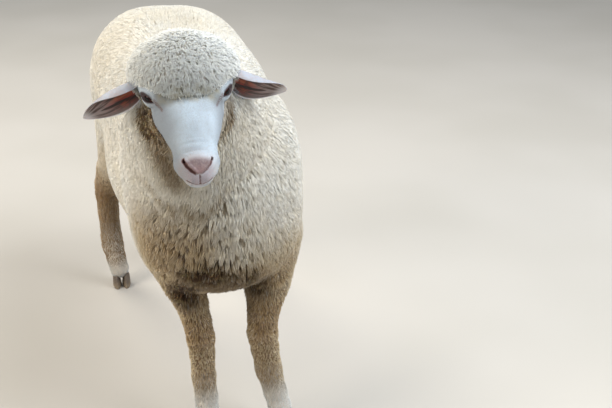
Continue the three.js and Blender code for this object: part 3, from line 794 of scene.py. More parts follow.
# ------------------------------------------------------------------------------- materials
class Nodes:
    """A small help to write node trees."""

    def __init__(self, tree):
        self.t = tree

    def new(self, kind, **props):
        n = self.t.nodes.new(kind)
        for k, v in props.items():
            setattr(n, k, v)
        return n

    def put(self, socket, value):
        if isinstance(value, bpy.types.NodeSocket):
            self.t.links.new(value, socket)
        elif isinstance(value, (tuple, list)) and len(value) == 3 and socket.type == "RGBA":
            socket.default_value = (*value, 1.0)
        else:
            socket.default_value = value

    def math(self, op, a, b=0.0, c=None, clamp=False):
        n = self.new("ShaderNodeMath", operation=op, use_clamp=clamp)
        self.put(n.inputs[0], a)
        self.put(n.inputs[1], b)
        if c is not None:
            self.put(n.inputs[2], c)
        return n.outputs[0]

    def ramp(self, value, lo, hi, a=0.0, b=1.0):
        n = self.new("ShaderNodeMapRange", interpolation_type="SMOOTHSTEP")
        self.put(n.inputs["Value"], value)
        for k, v in (("From Min", lo), ("From Max", hi), ("To Min", a), ("To Max", b)):
            self.put(n.inputs[k], v)
        return n.outputs["Result"]

    def mix(self, f, a, b, kind="MIX"):
        n = self.new("ShaderNodeMix", data_type="RGBA", blend_type=kind)
        n.clamp_factor = True
        self.put(n.inputs[0], f)
        self.put(n.inputs[6], a)
        self.put(n.inputs[7], b)
        return n.outputs[2]

    def noise(self, scale, detail=2.0, rough=0.5, vector=None, distortion=0.0):
        n = self.new("ShaderNodeTexNoise")
        n.inputs["Scale"].default_value = scale
        n.inputs["Detail"].default_value = detail
        n.inputs["Roughness"].default_value = rough
        n.inputs["Distortion"].default_value = distortion
        self.put(n.inputs["Vector"], vector if vector is not None else self.place())
        return n.outputs["Fac"]

    def place(self):
        if not hasattr(self, "_place"):
            self._place = self.new("ShaderNodeTexCoord").outputs["Object"]
        return self._place

    def xyz(self):
        if not hasattr(self, "_xyz"):
            n = self.new("ShaderNodeSeparateXYZ")
            self.put(n.inputs[0], self.place())
            self._xyz = n.outputs
        return self._xyz

    def away(self, point, scale=(1, 1, 1)):
        """Distance in metres from a point given in the sheep's frame in mm, with each axis scaled."""
        p = (np.array(point, float) + SHIFT) * 0.001
        n = self.new("ShaderNodeVectorMath", operation="SUBTRACT")
        self.put(n.inputs[0], self.place())
        n.inputs[1].default_value = tuple(p)
        m = self.new("ShaderNodeVectorMath", operation="MULTIPLY")
        self.put(m.inputs[0], n.outputs[0])
        m.inputs[1].default_value = scale
        k = self.new("ShaderNodeVectorMath", operation="LENGTH")
        self.put(k.inputs[0], m.outputs[0])
        return k.outputs["Value"]

    def attr(self, name):
        return self.new("ShaderNodeAttribute", attribute_name=name).outputs["Fac"]


def rgb(r, g, b):
    """Linear colour from the 0..255 numbers of a screen colour."""
    return tuple(((c / 255 + 0.055) / 1.055) ** 2.4 if c > 10 else c / 255 / 12.92 for c in (r, g, b))


def markings(N):
    """The fleece's and skin's shared colours: (tip colour, deep colour), by place on the sheep."""
    x, y, z = N.xyz()
    broad = N.noise(7.0, 3.0, 0.55)
    fine = N.noise(60.0, 2.0, 0.6)
    tip = N.mix(N.ramp(broad, 0.35, 0.68), rgb(249, 243, 226), rgb(244, 232, 207))
    tip = N.mix(N.ramp(fine, 0.45, 0.8), tip, rgb(232, 220, 194))
    deep = N.mix(N.ramp(fine, 0.35, 0.7), rgb(228, 212, 184), rgb(208, 187, 154))
    # the poll is cooler and greyer than the rest
    poll = N.ramp(N.away(from_head((0, -30, 10))), 0.075, 0.115, 1.0, 0.0)
    tip = N.mix(N.math("MULTIPLY", poll, 0.95), tip, rgb(251, 254, 246))
    deep = N.mix(N.math("MULTIPLY", poll, 0.95), deep, rgb(250, 248, 236))
    edge = N.math("MULTIPLY", N.ramp(N.away(from_head((0, 14, 13)), (0.75, 1.5, 1.5)), 0.014, 0.042, 1.0, 0.0), N.ramp(N.noise(75.0, 3.0, 0.6), 0.4, 0.62, 0.0, 0.75))
    tip = N.mix(edge, tip, rgb(204, 194, 160))
    deep = N.mix(edge, deep, rgb(150, 132, 92))
    # the lower chest, belly and hind thighs are browner and darker: partly dust, partly painted shade where the light
    # from above falls off
    low_ = N.math("MULTIPLY", N.attr("low"), 0.9)
    tip = N.mix(low_, tip, rgb(188, 155, 106))
    deep = N.mix(low_, deep, rgb(94, 63, 35))
    # the legs are dusty brown down to the pasterns, and white at the feet
    leg = N.ramp(z, 0.22, 0.40, 1.0, 0.0)
    tip = N.mix(N.math("MULTIPLY", leg, 0.9), tip, N.mix(N.ramp(N.noise(16.0, 3.0, 0.6), 0.38, 0.62), rgb(206, 178, 134), rgb(162, 128, 84)))
    deep = N.mix(N.math("MULTIPLY", leg, 0.85), deep, rgb(130, 102, 70))
    tip = N.mix(N.math("MULTIPLY", N.math("MULTIPLY", leg, N.ramp(y, 0.25, 0.42)), 0.85), tip, rgb(144, 106, 66))
    shin = N.math("MULTIPLY", N.ramp(z, 0.085, 0.13), N.ramp(z, 0.17, 0.22, 1.0, 0.0))
    tip = N.mix(N.math("MULTIPLY", shin, 0.15), tip, rgb(214, 200, 172))
    # painted shade, with some dust and grease, beside the jaws, on the brisket, inside the legs and in the chest's
    # folds
    dusk = N.math("MULTIPLY", N.attr("dusk"), N.ramp(N.noise(95.0, 3.0, 0.65), 0.3, 0.6, 0.76, 1.0))
    tip = N.mix(N.math("MULTIPLY", dusk, 1.3, clamp=True), tip, rgb(168, 138, 98))
    tip = N.mix(N.math("POWER", dusk, 1.5), tip, rgb(58, 40, 25))
    deep = N.mix(dusk, deep, rgb(38, 24, 14))
    foot = N.mix(N.ramp(y, 0.0, 0.2), N.ramp(z, 0.072, 0.125, 1.0, 0.0), N.ramp(z, 0.036, 0.07, 1.0, 0.0))
    tip = N.mix(foot, tip, rgb(238, 240, 234))
    deep = N.mix(foot, deep, rgb(206, 198, 184))
    return tip, deep


def surface(name, roughness=0.8, **uniform):
    m = bpy.data.materials.new(name)
    m.use_nodes = True
    N = Nodes(m.node_tree)
    shader = m.node_tree.nodes["Principled BSDF"]
    shader.inputs["Roughness"].default_value = roughness
    for key, value in uniform.items():
        shader.inputs[key.replace("_", " ")].default_value = value
    return m, N, shader


def bumped(N, shader, height, strength, distance):
    b = N.new("ShaderNodeBump")
    b.inputs["Strength"].default_value = strength
    b.inputs["Distance"].default_value = distance
    N.put(b.inputs["Height"], height)
    N.put(shader.inputs["Normal"], b.outputs["Normal"])


def wool_material(name):
    m, N, shader = surface(name, 0.95, Sheen_Weight=0.1, Sheen_Roughness=0.5, Specular_IOR_Level=0.05,
                           Subsurface_Weight=0.55, Subsurface_Scale=0.006)
    shader.inputs["Subsurface Radius"].default_value = (1.0, 0.85, 0.65)
    tip, deep = markings(N)
    along, luck = N.attr("along"), N.attr("luck")
    # each lock is darker towards its root: partly its own colour, partly painted shade deep in the coat; on the lower
    # chest more of each lock is dark, as painted shade in the clefts
    colour = N.mix(N.ramp(N.math("SUBTRACT", along, N.math("MULTIPLY", N.attr("low"), 0.28)), 0.0, 0.7), deep, tip)
    colour = N.mix(N.math("MULTIPLY", N.ramp(luck, 0.0, 0.35, 1.0, 0.0), 0.3), colour, deep)
    colour = N.mix(N.math("MULTIPLY", N.ramp(luck, 0.72, 1.0), 0.3), colour, N.mix(0.5, tip, rgb(250, 246, 236)))
    N.put(shader.inputs["Base Color"], colour)
    return m


def hair_material(name):
    m, N, shader = surface(name, 0.7, Sheen_Weight=0.15, Sheen_Roughness=0.4, Specular_IOR_Level=0.3)
    x, y, z = N.xyz()
    luck = N.attr("luck")
    c = N.mix(N.ramp(N.noise(24.0, 3.0, 0.55), 0.35, 0.7), rgb(189, 203, 215), rgb(172, 182, 190))
    c = N.mix(N.math("MULTIPLY", N.ramp(luck, 0.0, 0.4, 1.0, 0.0), 0.18), c, rgb(180, 176, 170))
    # painted shade on the sides of the face and before the eyes, with greyer hair there
    c = N.mix(N.math("MULTIPLY", N.attr("hollow"), 0.8), c, rgb(128, 133, 141))
    c = N.mix(N.math("MULTIPLY", N.attr("sand"), N.ramp(N.noise(90.0, 3.0, 0.6), 0.35, 0.65, 0.25, 0.85)), c, rgb(186, 178, 152))
    tip, deep = markings(N)
    c = N.mix(N.ramp(z, 0.42, 0.52, 1.0, 0.0), c, tip)
    N.put(shader.inputs["Base Color"], c)
    return m


def skin_material():
    m, N, shader = surface("skin", 0.62, Specular_IOR_Level=0.35, Subsurface_Weight=0.06, Subsurface_Scale=0.002)
    shader.inputs["Subsurface Radius"].default_value = (1.0, 0.45, 0.3)
    tip, deep = markings(N)
    x, y, z = N.xyz()
    under = N.mix(0.25, deep, rgb(176, 136, 112))
    foot = N.ramp(z, 0.09, 0.17, 1.0, 0.0)
    under = N.mix(foot, under, rgb(222, 212, 198))
    # hair of the face: cool white with fine streaks that run down the face
    stretch = N.new("ShaderNodeMapping")
    N.put(stretch.inputs["Vector"], N.place())
    stretch.inputs["Rotation"].default_value = (math.radians(-30), 0, math.radians(4))
    stretch.inputs["Scale"].default_value = (1.0, 0.16, 1.0)
    streak = N.noise(620.0, 2.0, 0.6, stretch.outputs[0])
    white = N.mix(N.ramp(N.noise(26.0, 3.0, 0.55), 0.35, 0.7), rgb(188, 202, 214), rgb(168, 178, 187))
    white = N.mix(N.math("MULTIPLY", N.ramp(streak, 0.45, 0.75), 0.45), white, rgb(160, 157, 154))
    # painted shade on the sides of the face and before the eyes, with greyer hair there
    white = N.mix(N.math("MULTIPLY", N.attr("hollow"), 0.8), white, rgb(126, 131, 138))
    white = N.mix(N.math("MULTIPLY", N.attr("sand"), N.ramp(N.noise(90.0, 3.0, 0.6), 0.35, 0.65, 0.25, 0.85)), white, rgb(180, 170, 143))
    face = N.attr("face")
    colour = N.mix(face, under, white)
    # thinner hair round the eyes and on the muzzle lets the skin through
    thin = N.ramp(N.away(from_head((0, 118, -20))), 0.018, 0.042, 1.0, 0.0)
    colour = N.mix(N.math("MULTIPLY", thin, 0.35), colour, rgb(216, 190, 184))
    colour = N.mix(N.math("MULTIPLY", N.attr("lip"), 0.6), colour, rgb(160, 140, 146))
    pink = N.mix(N.ramp(N.noise(300.0, 3.0, 0.6), 0.4, 0.65), rgb(115, 94, 96), rgb(135, 116, 114))
    pink = N.mix(N.ramp(N.away(from_head((0, 121, -14))), 0.004, 0.016, 0.5, 0.0), pink, rgb(150, 113, 112))
    # painted shade on the sides of the muzzle, deepest on the right side
    colour = N.mix(N.math("MULTIPLY", N.math("MULTIPLY", N.attr("hollow"), thin), 0.6), colour, rgb(108, 100, 102))
    colour = N.mix(N.math("MULTIPLY", N.attr("nose"), 0.92), colour, pink)
    colour = N.mix(N.math("MULTIPLY", N.attr("tear"), 0.85), colour, rgb(108, 76, 66))
    line = N.attr("line")
    colour = N.mix(N.ramp(line, 0.0, 0.75), colour, rgb(98, 64, 60))
    colour = N.mix(N.ramp(line, 0.65, 1.0), colour, rgb(52, 28, 27))
    lid = N.mix(N.ramp(N.noise(400.0, 2.0, 0.6), 0.4, 0.6), rgb(40, 28, 30), rgb(62, 46, 48))
    colour = N.mix(N.attr("lid"), colour, lid)
    N.put(shader.inputs["Base Color"], colour)
    wet = N.math("MULTIPLY", N.math("MAXIMUM", N.attr("nose"), N.attr("line")), 0.22)
    N.put(shader.inputs["Roughness"], N.math("SUBTRACT", 0.66, wet))
    grain = N.math("ADD", N.math("MULTIPLY", streak, face), N.math("MULTIPLY", N.noise(900.0, 2.0, 0.6), 0.4))
    bumped(N, shader, grain, 0.5, 0.0007)
    return m


def ear_inside_material():
    m, N, shader = surface("ear_inside", 0.55, Specular_IOR_Level=0.4, Subsurface_Weight=0.15, Subsurface_Scale=0.002)
    shader.inputs["Subsurface Radius"].default_value = (1.0, 0.35, 0.25)
    side = N.attr("side")   # -1 at one rim, 1 at the other
    far = N.attr("far")     # 0 at the root, 1 at the tip
    v = N.new("ShaderNodeCombineXYZ")
    N.put(v.inputs[0], N.math("MULTIPLY", side, 2.3))
    N.put(v.inputs[1], N.math("MULTIPLY", far, 0.75))
    streak = N.noise(2.6, 3.0, 0.6, v.outputs[0], 0.5)
    hue = N.noise(3.1, 2.0, 0.5, v.outputs[0], 0.9)
    red = N.mix(N.ramp(hue, 0.42, 0.62), rgb(150, 40, 24), rgb(146, 72, 42))
    c = N.mix(N.ramp(streak, 0.46, 0.6), rgb(38, 18, 14), red)
    c = N.mix(N.math("MULTIPLY", N.ramp(N.noise(120.0, 3.0, 0.6), 0.46, 0.66), 0.6), c, rgb(50, 34, 29))
    c = N.mix(N.ramp(far, -0.02, 0.16, 1.0, 0.0), c, rgb(30, 17, 15))
    grey = N.mix(N.ramp(streak, 0.42, 0.56), rgb(76, 52, 46), rgb(152, 140, 138))
    c = N.mix(N.math("MULTIPLY", N.ramp(far, 0.34, 0.78), 0.9), c, grey)
    edge = N.ramp(N.math("ABSOLUTE", side), 0.5, 0.9)
    c = N.mix(N.math("MULTIPLY", edge, 0.6), c, rgb(122, 110, 106))
    rim = N.ramp(N.math("ABSOLUTE", side), 0.9, 1.0)
    c = N.mix(rim, c, rgb(222, 220, 222))
    c = N.mix(N.ramp(far, 0.8, 0.97), c, rgb(204, 200, 202))
    N.put(shader.inputs["Base Color"], c)
    bumped(N, shader, N.math("ADD", streak, N.math("MULTIPLY", N.noise(700.0, 2.0, 0.6), 0.3)), 0.4, 0.0008)
    return m


def ear_back_material():
    m, N, shader = surface("ear_back", 0.6, Specular_IOR_Level=0.3, Subsurface_Weight=0.15, Subsurface_Scale=0.002)
    shader.inputs["Subsurface Radius"].default_value = (1.0, 0.4, 0.3)
    c = N.mix(N.ramp(N.noise(60.0, 3.0, 0.6), 0.35, 0.7), rgb(180, 185, 196), rgb(174, 166, 168))
    N.put(shader.inputs["Base Color"], c)
    bumped(N, shader, N.noise(800.0, 2.0, 0.6), 0.4, 0.0005)
    return m


WOOL = wool_material("fleece")
HAIR = hair_material("short_hair")
SKIN = skin_material()
EAR_IN = ear_inside_material()
EAR_BACK = ear_back_material()

# ------------------------------------------------------------------------------- the skin object
mk = marks(V_all)
attributes = {k: v for k, v in mk.items()}
side, far = np.zeros(len(V_all)), np.zeros(len(V_all))
for e in ear_parts.values():
    sl_ = slice(e["offset"], e["offset"] + len(e["W"]))
    side[sl_], far[sl_] = e["s"], e["t"]
    for k in attributes:
        attributes[k][sl_] = 0
attributes["side"], attributes["far"] = side, far
attributes["dusk"], attributes["low"] = tones(V_all)
mat_index = np.select([kind_all == 0, kind_all == 2], [0, 1], 2)
skin_ob = make_mesh("skin", V_all, Q_all.ravel(), np.full(len(Q_all), 4), uv_all.reshape(-1, 2), attributes,
                    (SKIN, EAR_IN, EAR_BACK), mat_index)
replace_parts(skin_ob, "trunk", "neck", "head", "tail", "ear_left", "ear_right",
            "leg_front_left", "leg_front_right", "leg_hind_left", "leg_hind_right")


# ------------------------------------------------------------------------------- eyes
def ball(name, handed):
    c = from_head(EYE * (handed, 1, 1))
    gaze = unit((GAZE * (handed, 1, 1)) @ HR)
    shut = unit((SHUT * (handed, 1, 1)) @ HR)
    lift = np.cross(gaze, shut)
    n_lat, n_lon = 56, 72
    th = np.linspace(0, math.pi, n_lat + 1)[1:-1]
    ph = np.linspace(0, 2 * math.pi, n_lon, endpoint=False)
    T, Ph = np.meshgrid(th, ph, indexing="ij")
    dirs = np.stack([np.cos(T), np.sin(T) * np.cos(Ph), np.sin(T) * np.sin(Ph)], -1).reshape(-1, 3)
    dirs = np.concatenate([[[1.0, 0, 0]], dirs, [[-1.0, 0, 0]]])
    r = EYE_RADIUS * HEAD_SCALE * (1 + 0.045 * step((dirs[:, 0] - 0.78) / 0.2))
    V = c + r[:, None] * (dirs[:, :1] * gaze + dirs[:, 1:2] * shut + dirs[:, 2:] * lift)
    loops, sizes = [], []
    row = lambda i: 1 + i * n_lon + np.arange(n_lon)
    first, last = row(0), row(n_lat - 2)
    top = np.stack([np.zeros(n_lon, int), first, np.roll(first, -1)], 1)
    bottom = np.stack([np.full(n_lon, len(V) - 1), np.roll(last, -1), last], 1)
    quads = np.concatenate([np.stack([row(i), row(i + 1), np.roll(row(i + 1), -1), np.roll(row(i), -1)], 1) for i in range(n_lat - 2)])
    loops = np.concatenate([top.ravel(), bottom.ravel(), quads.ravel()])
    sizes = np.concatenate([np.full(2 * n_lon, 3), np.full(len(quads), 4)])
    m, N, shader = surface(name + "_look", 0.16, Coat_Weight=0.1, Coat_Roughness=0.04, Specular_IOR_Level=0.14)
    centre = tuple((c + SHIFT) * 0.001)
    sub = N.new("ShaderNodeVectorMath", operation="SUBTRACT")
    N.put(sub.inputs[0], N.place())
    sub.inputs[1].default_value = centre

    def dot(v):
        d = N.new("ShaderNodeVectorMath", operation="DOT_PRODUCT")
        N.put(d.inputs[0], sub.outputs[0])
        d.inputs[1].default_value = tuple(v)
        return d.outputs["Value"]

    h, v, g = dot(shut), dot(lift), dot(gaze)
    across = N.math("SQRT", N.math("ADD", N.math("MULTIPLY", h, h), N.math("MULTIPLY", v, v)))
    iris = N.ramp(across, 0.0082, 0.0090, 1.0, 0.0)
    hp, vp = N.math("MULTIPLY", h, 1 / 0.0062), N.math("MULTIPLY", v, 1 / 0.0026)
    slot_ = N.math("ADD", N.math("POWER", N.math("ABSOLUTE", hp), 4.0), N.math("POWER", N.math("ABSOLUTE", vp), 2.0))
    pupil = N.ramp(slot_, 0.75, 1.2, 1.0, 0.0)
    c0 = N.mix(N.ramp(N.noise(500.0, 2.0, 0.6), 0.35, 0.7), rgb(58, 26, 18), rgb(34, 16, 12))
    col = N.mix(iris, rgb(70, 52, 48), c0)
    col = N.mix(N.math("MULTIPLY", pupil, iris), col, rgb(8, 7, 8))
    N.put(shader.inputs["Base Color"], col)
    ob = make_mesh(name, V, loops, sizes, mats=(m,))
    return ob


for handed, node in ((1, "eye_left"), (-1, "eye_right")):
    ob = ball("eyeball_" + node[4:], handed)
    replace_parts(ob, node)


# ------------------------------------------------------------------------------- hooves
def horn_material():
    m, N, shader = surface("horn", 0.5, Coat_Weight=0.1, Coat_Roughness=0.4)
    x, y, z = N.xyz()
    w = N.new("ShaderNodeTexWave", wave_type="BANDS", bands_direction="Z")
    w.inputs["Scale"].default_value = 95.0
    w.inputs["Distortion"].default_value = 3.0
    w.inputs["Detail"].default_value = 2.0
    N.put(w.inputs["Vector"], N.place())
    rings = w.outputs["Fac"]
    c = N.mix(N.ramp(N.noise(120.0, 4.0, 0.6), 0.35, 0.65), rgb(72, 62, 54), rgb(104, 90, 76))
    c = N.mix(N.math("MULTIPLY", rings, 0.35), c, rgb(128, 112, 94))
    dust = N.math("MULTIPLY", N.ramp(z, 0.0, 0.016, 1.0, 0.0), 0.6)
    c = N.mix(dust, c, rgb(150, 132, 108))
    N.put(shader.inputs["Base Color"], c)
    N.put(shader.inputs["Roughness"], N.ramp(N.noise(90.0, 3.0, 0.6), 0.3, 0.7, 0.42, 0.68))
    bumped(N, shader, N.math("ADD", rings, N.math("MULTIPLY", N.noise(300.0, 3.0, 0.6), 0.6)), 0.45, 0.0008)
    return m


HORN = horn_material()


def claw(name, leg, handed):
    """One claw: flat sole, sloping toe wall, rounded coronet and bulb."""
    x0, y0 = leg["hoof"]
    turn = math.radians(leg["toe"])
    na, nv = 44, 16
    ang = np.linspace(0, 2 * math.pi, na, endpoint=False)
    rows = []
    for j in range(nv + 1):
        v = j / nv
        fore, wide = np.cos(ang), np.sin(ang)
        ease = 1.0 - 0.05 * (1 - step(v / 0.08)) - 0.10 * step((v - 0.82) / 0.18) ** 2
        hl = (42 / 2) * (1 - 0.3 * v) * ease
        hw = (20 / 2) * (1 - 0.1 * v) * (1 - 0.24 * fore) * ease
        inner = np.where(wide < 0, 0.82, 1.0)
        f = fore * hl - 9 * v
        w = handed * (wide * hw * inner + 20 * 0.41 + 3.4 / 2)
        height = (31 + 21) / 2 + ((31 - 21) / 2) * fore
        z = v * height
        X = x0 + w * math.cos(turn) + f * math.sin(turn)
        Y = y0 + w * math.sin(turn) - f * math.cos(turn)
        rows.append(np.stack([X, Y, z], 1))
    V = np.concatenate(rows + [rows[0].mean(0)[None], (rows[-1].mean(0) + (0, 0, 0.8))[None]])
    ring = lambda j: j * na + np.arange(na)
    quads = np.concatenate([np.stack([ring(j), np.roll(ring(j), -1), np.roll(ring(j + 1), -1), ring(j + 1)], 1) for j in range(nv)])
    b, t = len(V) - 2, len(V) - 1
    bottom = np.stack([np.full(na, b), np.roll(ring(0), -1), ring(0)], 1)
    top = np.stack([np.full(na, t), ring(nv), np.roll(ring(nv), -1)], 1)
    if handed > 0:
        quads, bottom, top = quads[:, ::-1], bottom[:, ::-1], top[:, ::-1]
    loops = np.concatenate([quads.ravel(), bottom.ravel(), top.ravel()])
    sizes = np.concatenate([np.full(len(quads), 4), np.full(2 * na, 3)])
    p = V[quads[:, :3]]
    out = np.cross(p[:, 1] - p[:, 0], p[:, 2] - p[:, 0])
    if (out * (p.mean(1) - V.mean(0))).sum() < 0:
        loops = np.concatenate([quads[:, ::-1].ravel(), bottom[:, ::-1].ravel(), top[:, ::-1].ravel()])
    ob = make_mesh(name, V, loops, sizes, mats=(HORN,))
    return ob


for leg_name, leg in LEGS.items():
    handed = -1 if leg["joints"][0][0] < 0 else 1
    base = leg_name.replace("leg", "hoof")
    for part, way in (("outer", handed), ("inner", -handed)):
        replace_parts(claw("horn_" + base[5:] + "_" + part, leg, way), base + "_" + part)


def dewclaws():
    """Two small horny claws behind each pastern, all in one mesh."""
    n_lat, n_lon = 12, 18
    th = np.linspace(0, math.pi, n_lat + 1)[1:-1]
    ph = np.linspace(0, 2 * math.pi, n_lon, endpoint=False)
    T, Ph = np.meshgrid(th, ph, indexing="ij")
    dirs = np.stack([np.sin(T) * np.cos(Ph), np.sin(T) * np.sin(Ph), np.cos(T)], -1).reshape(-1, 3)
    dirs = np.concatenate([[[0, 0, 1.0]], dirs, [[0, 0, -1.0]]])
    row = lambda i: 1 + i * n_lon + np.arange(n_lon)
    top = np.stack([np.zeros(n_lon, int), row(0), np.roll(row(0), -1)], 1)
    bottom = np.stack([np.full(n_lon, len(dirs) - 1), np.roll(row(n_lat - 2), -1), row(n_lat - 2)], 1)
    quads = np.concatenate([np.stack([row(i), row(i + 1), np.roll(row(i + 1), -1), np.roll(row(i), -1)], 1) for i in range(n_lat - 2)])
    V, loops, sizes = [], [], []
    for leg in LEGS.values():
        low_, high_ = np.array(leg["joints"][-2]), np.array(leg["joints"][-3])
        c = 0.45 * low_ + 0.55 * high_
        t = math.radians(leg["toe"])
        across, back = np.array([math.cos(t), math.sin(t), 0]), np.array([-math.sin(t), math.cos(t), 0])
        down = unit(np.array([0, 0, -1.0]) + 0.35 * back)
        out = np.cross(across, down)
        out *= np.sign(out @ back)
        for k in (-1, 1):
            middle = c[:3] + back * (c[3] - 2.2) + across * k * 8.5
            # blunt above, drawn to a rounded point below
            taper = 1 - 0.35 * step((-dirs[:, 2] + 0.2) / 1.2)
            p = middle + dirs[:, :1] * across * 5.0 * taper[:, None] + dirs[:, 1:2] * out * 4.6 * taper[:, None] - dirs[:, 2:] * down * 8.0
            start = sum(len(v) for v in V)
            V.append(p)
            loops += [(top + start).ravel(), (bottom + start).ravel(), (quads + start).ravel()]
            sizes += [np.full(2 * n_lon, 3), np.full(len(quads), 4)]
    ob = make_mesh("dewclaws", np.concatenate(V), np.concatenate(loops), np.concatenate(sizes), mats=(HORN,))


dewclaws()


# ------------------------------------------------------------------------------- the coat
TRI = Q_all[:, [0, 1, 2]], Q_all[:, [0, 2, 3]]
TRI_V = np.concatenate(TRI)
TRI_UV = np.concatenate([uv_all[:, [0, 1, 2]], uv_all[:, [0, 2, 3]]])
TRI_KIND = np.concatenate([kind_all, kind_all])
A_, B_, C_ = V_all[TRI_V[:, 0]], V_all[TRI_V[:, 1]], V_all[TRI_V[:, 2]]
TRI_AREA = 0.5 * np.linalg.norm(np.cross(B_ - A_, C_ - A_), axis=1)
# skin points where the coat's depth, the face and the bare spots are known
DEEP = np.maximum(-in_parts(outer, V_all), 0)
BARE = np.maximum.reduce([mk["nose"], mk["line"], mk["lid"]])


def scatter(weight, spacing, tries=3.2):
    """Roots spread evenly over the triangles where weight is above zero, about `spacing` mm apart."""
    area = TRI_AREA * (weight > 0)
    n = int(area.sum() / spacing**2 * tries)
    cum = np.cumsum(area)
    pick = np.searchsorted(cum, rng.random(n) * cum[-1])
    r1, r2 = np.sqrt(rng.random(n)), rng.random(n)
    bar = np.stack([1 - r1, r1 * (1 - r2), r1 * r2], 1)
    P = (V_all[TRI_V[pick]] * bar[..., None]).sum(1)
    cell = np.floor(P / spacing + 0.37).astype(np.int64)
    key = (cell[:, 0] * 4096 + cell[:, 1]) * 4096 + cell[:, 2]
    _, keep = np.unique(key, return_index=True)
    keep = keep[rng.random(len(keep)) < weight[pick[keep]]]
    UV = (TRI_UV[pick[keep]] * bar[keep][..., None]).sum(1)
    return P[keep], UV, pick[keep], bar[keep]


def at_roots(values, pick, bar):
    return (values[TRI_V[pick]] * bar).sum(1)


def tangent(F, N):
    return unit(F - N * (F * N).sum(1, keepdims=True))


def lie(P):
    """Which way the wool leans: back and down over the body, down the chest and legs."""
    F = np.tile([0.0, 0.42, -1.0], (len(P), 1))
    F[:, 0] += np.clip(P[:, 0] / 500, -0.3, 0.3)
    m = (P[:, 1] < 60) & (P[:, 2] > 560)
    q = to_head(P[m])
    w = step((4 - egg(q, *CAP)) / 12)[:, None]
    ahead = np.stack([0.25 * np.sign(q[:, 0]) * step(np.abs(q[:, 0]) / 50), np.full(len(q), 0.8), np.full(len(q), -0.55)], 1)
    F[m] = (1 - w) * F[m] + w * (ahead @ HR)
    return F


def locks(P, N, F, deep, width, lean, bend, swing=0.3, curl=0.6, clump=None, pull=0.4, blunt=0.58, soft=3.0):
    """Tapered three-sided locks, long enough for their tips to reach `deep` above the roots: a foot in
    the skin, widest at `blunt` of the length, and a pointed tip. clump is the number of the staple that
    each root belongs to; the tips of a staple draw together. The shading is softened towards the skin's
    own, as light goes through wool."""
    n = len(P)
    F = tangent(F, N)
    side = np.cross(N, F)
    F = unit(F + side * np.broadcast_to(rng.normal(0, 1, n) * swing, n)[:, None])
    side = np.cross(N, F)
    a0 = lean + rng.normal(0, 0.07, n)
    a1 = a0 + bend + rng.normal(0, 0.09, n)
    a0, a1 = np.clip(a0, -0.2, 1.35), np.clip(a1, -0.2, 1.45)
    L = deep / np.maximum(blunt * np.cos(a0) + (1 - blunt) * np.cos(a1), 0.3)
    L = L[:, None]
    foot = P - N * 0.8
    mid = P + L * blunt * (np.cos(a0)[:, None] * N + np.sin(a0)[:, None] * F)
    tip = mid + L * (1 - blunt) * (np.cos(a1)[:, None] * N + np.sin(a1)[:, None] * F)
    ph = rng.random(n)[:, None] * 2 * math.pi
    curl = np.broadcast_to(curl, n)[:, None]
    mid = mid + curl * (np.cos(ph) * side + np.sin(ph) * F)
    tip = tip + curl * 1.2 * (np.cos(ph + 2.4) * side + np.sin(ph + 2.4) * F)
    if clump is not None:
        pull = np.broadcast_to(pull, n)[:, None]
        count = np.bincount(clump)
        mean = lambda v: np.stack([np.bincount(clump, v[:, k]) / np.maximum(count, 1) for k in range(3)], 1)[clump]
        flat = lambda v: v - N * (v * N).sum(1, keepdims=True)
        mid = mid + flat(mean(mid) - mid) * pull * 0.5
        tip = tip + flat(mean(tip) - tip) * pull
    d = unit(tip - foot)
    e1 = unit(np.cross(d, side + 0.01 * N))
    e2 = np.cross(d, e1)
    turn = rng.random(n)[:, None] * 2 * math.pi
    ways = [np.cos(turn + t) * e1 + np.sin(turn + t) * e2 for t in (0, 2 * math.pi / 3, 4 * math.pi / 3)]
    V = np.stack([foot] + [mid + width[:, None] * w for w in ways] + [tip], 1)
    shade = np.stack([N] + [unit(w + soft * N) for w in ways] + [unit(0.5 * d + soft * N)], 1)
    # a lock that would stand out of the coat's outer form, as in a groin, is drawn back
    over = in_parts(outer, tip) - 0.6
    keep = np.where(over > 0, np.clip(deep / (deep + 1.6 * np.maximum(over, 0)), 0.25, 1.0), 1.0)
    V = foot[:, None] + (V - foot[:, None]) * keep[:, None, None]
    return V, shade  # n, 5, 3 each


LOCK_TRIS = np.array([[0, 2, 1], [0, 3, 2], [0, 1, 3], [1, 2, 4], [2, 3, 4], [3, 1, 4]])
LOCK_UV = np.array([[((k + 0.5) / 3, 0), ((k + 1) / 3, 0.55), (k / 3, 0.55)] for k in range(3)]
                   + [[(k / 3, 0.55), ((k + 1) / 3, 0.55), ((k + 0.5) / 3, 1)] for k in range(3)]) - 0.5
ALONG = np.array([0, 0.58, 0.58, 0.58, 1.0])
MOST = 32500  # locks in one piece, so that it stays under 200,000 triangles
coat_pieces = []


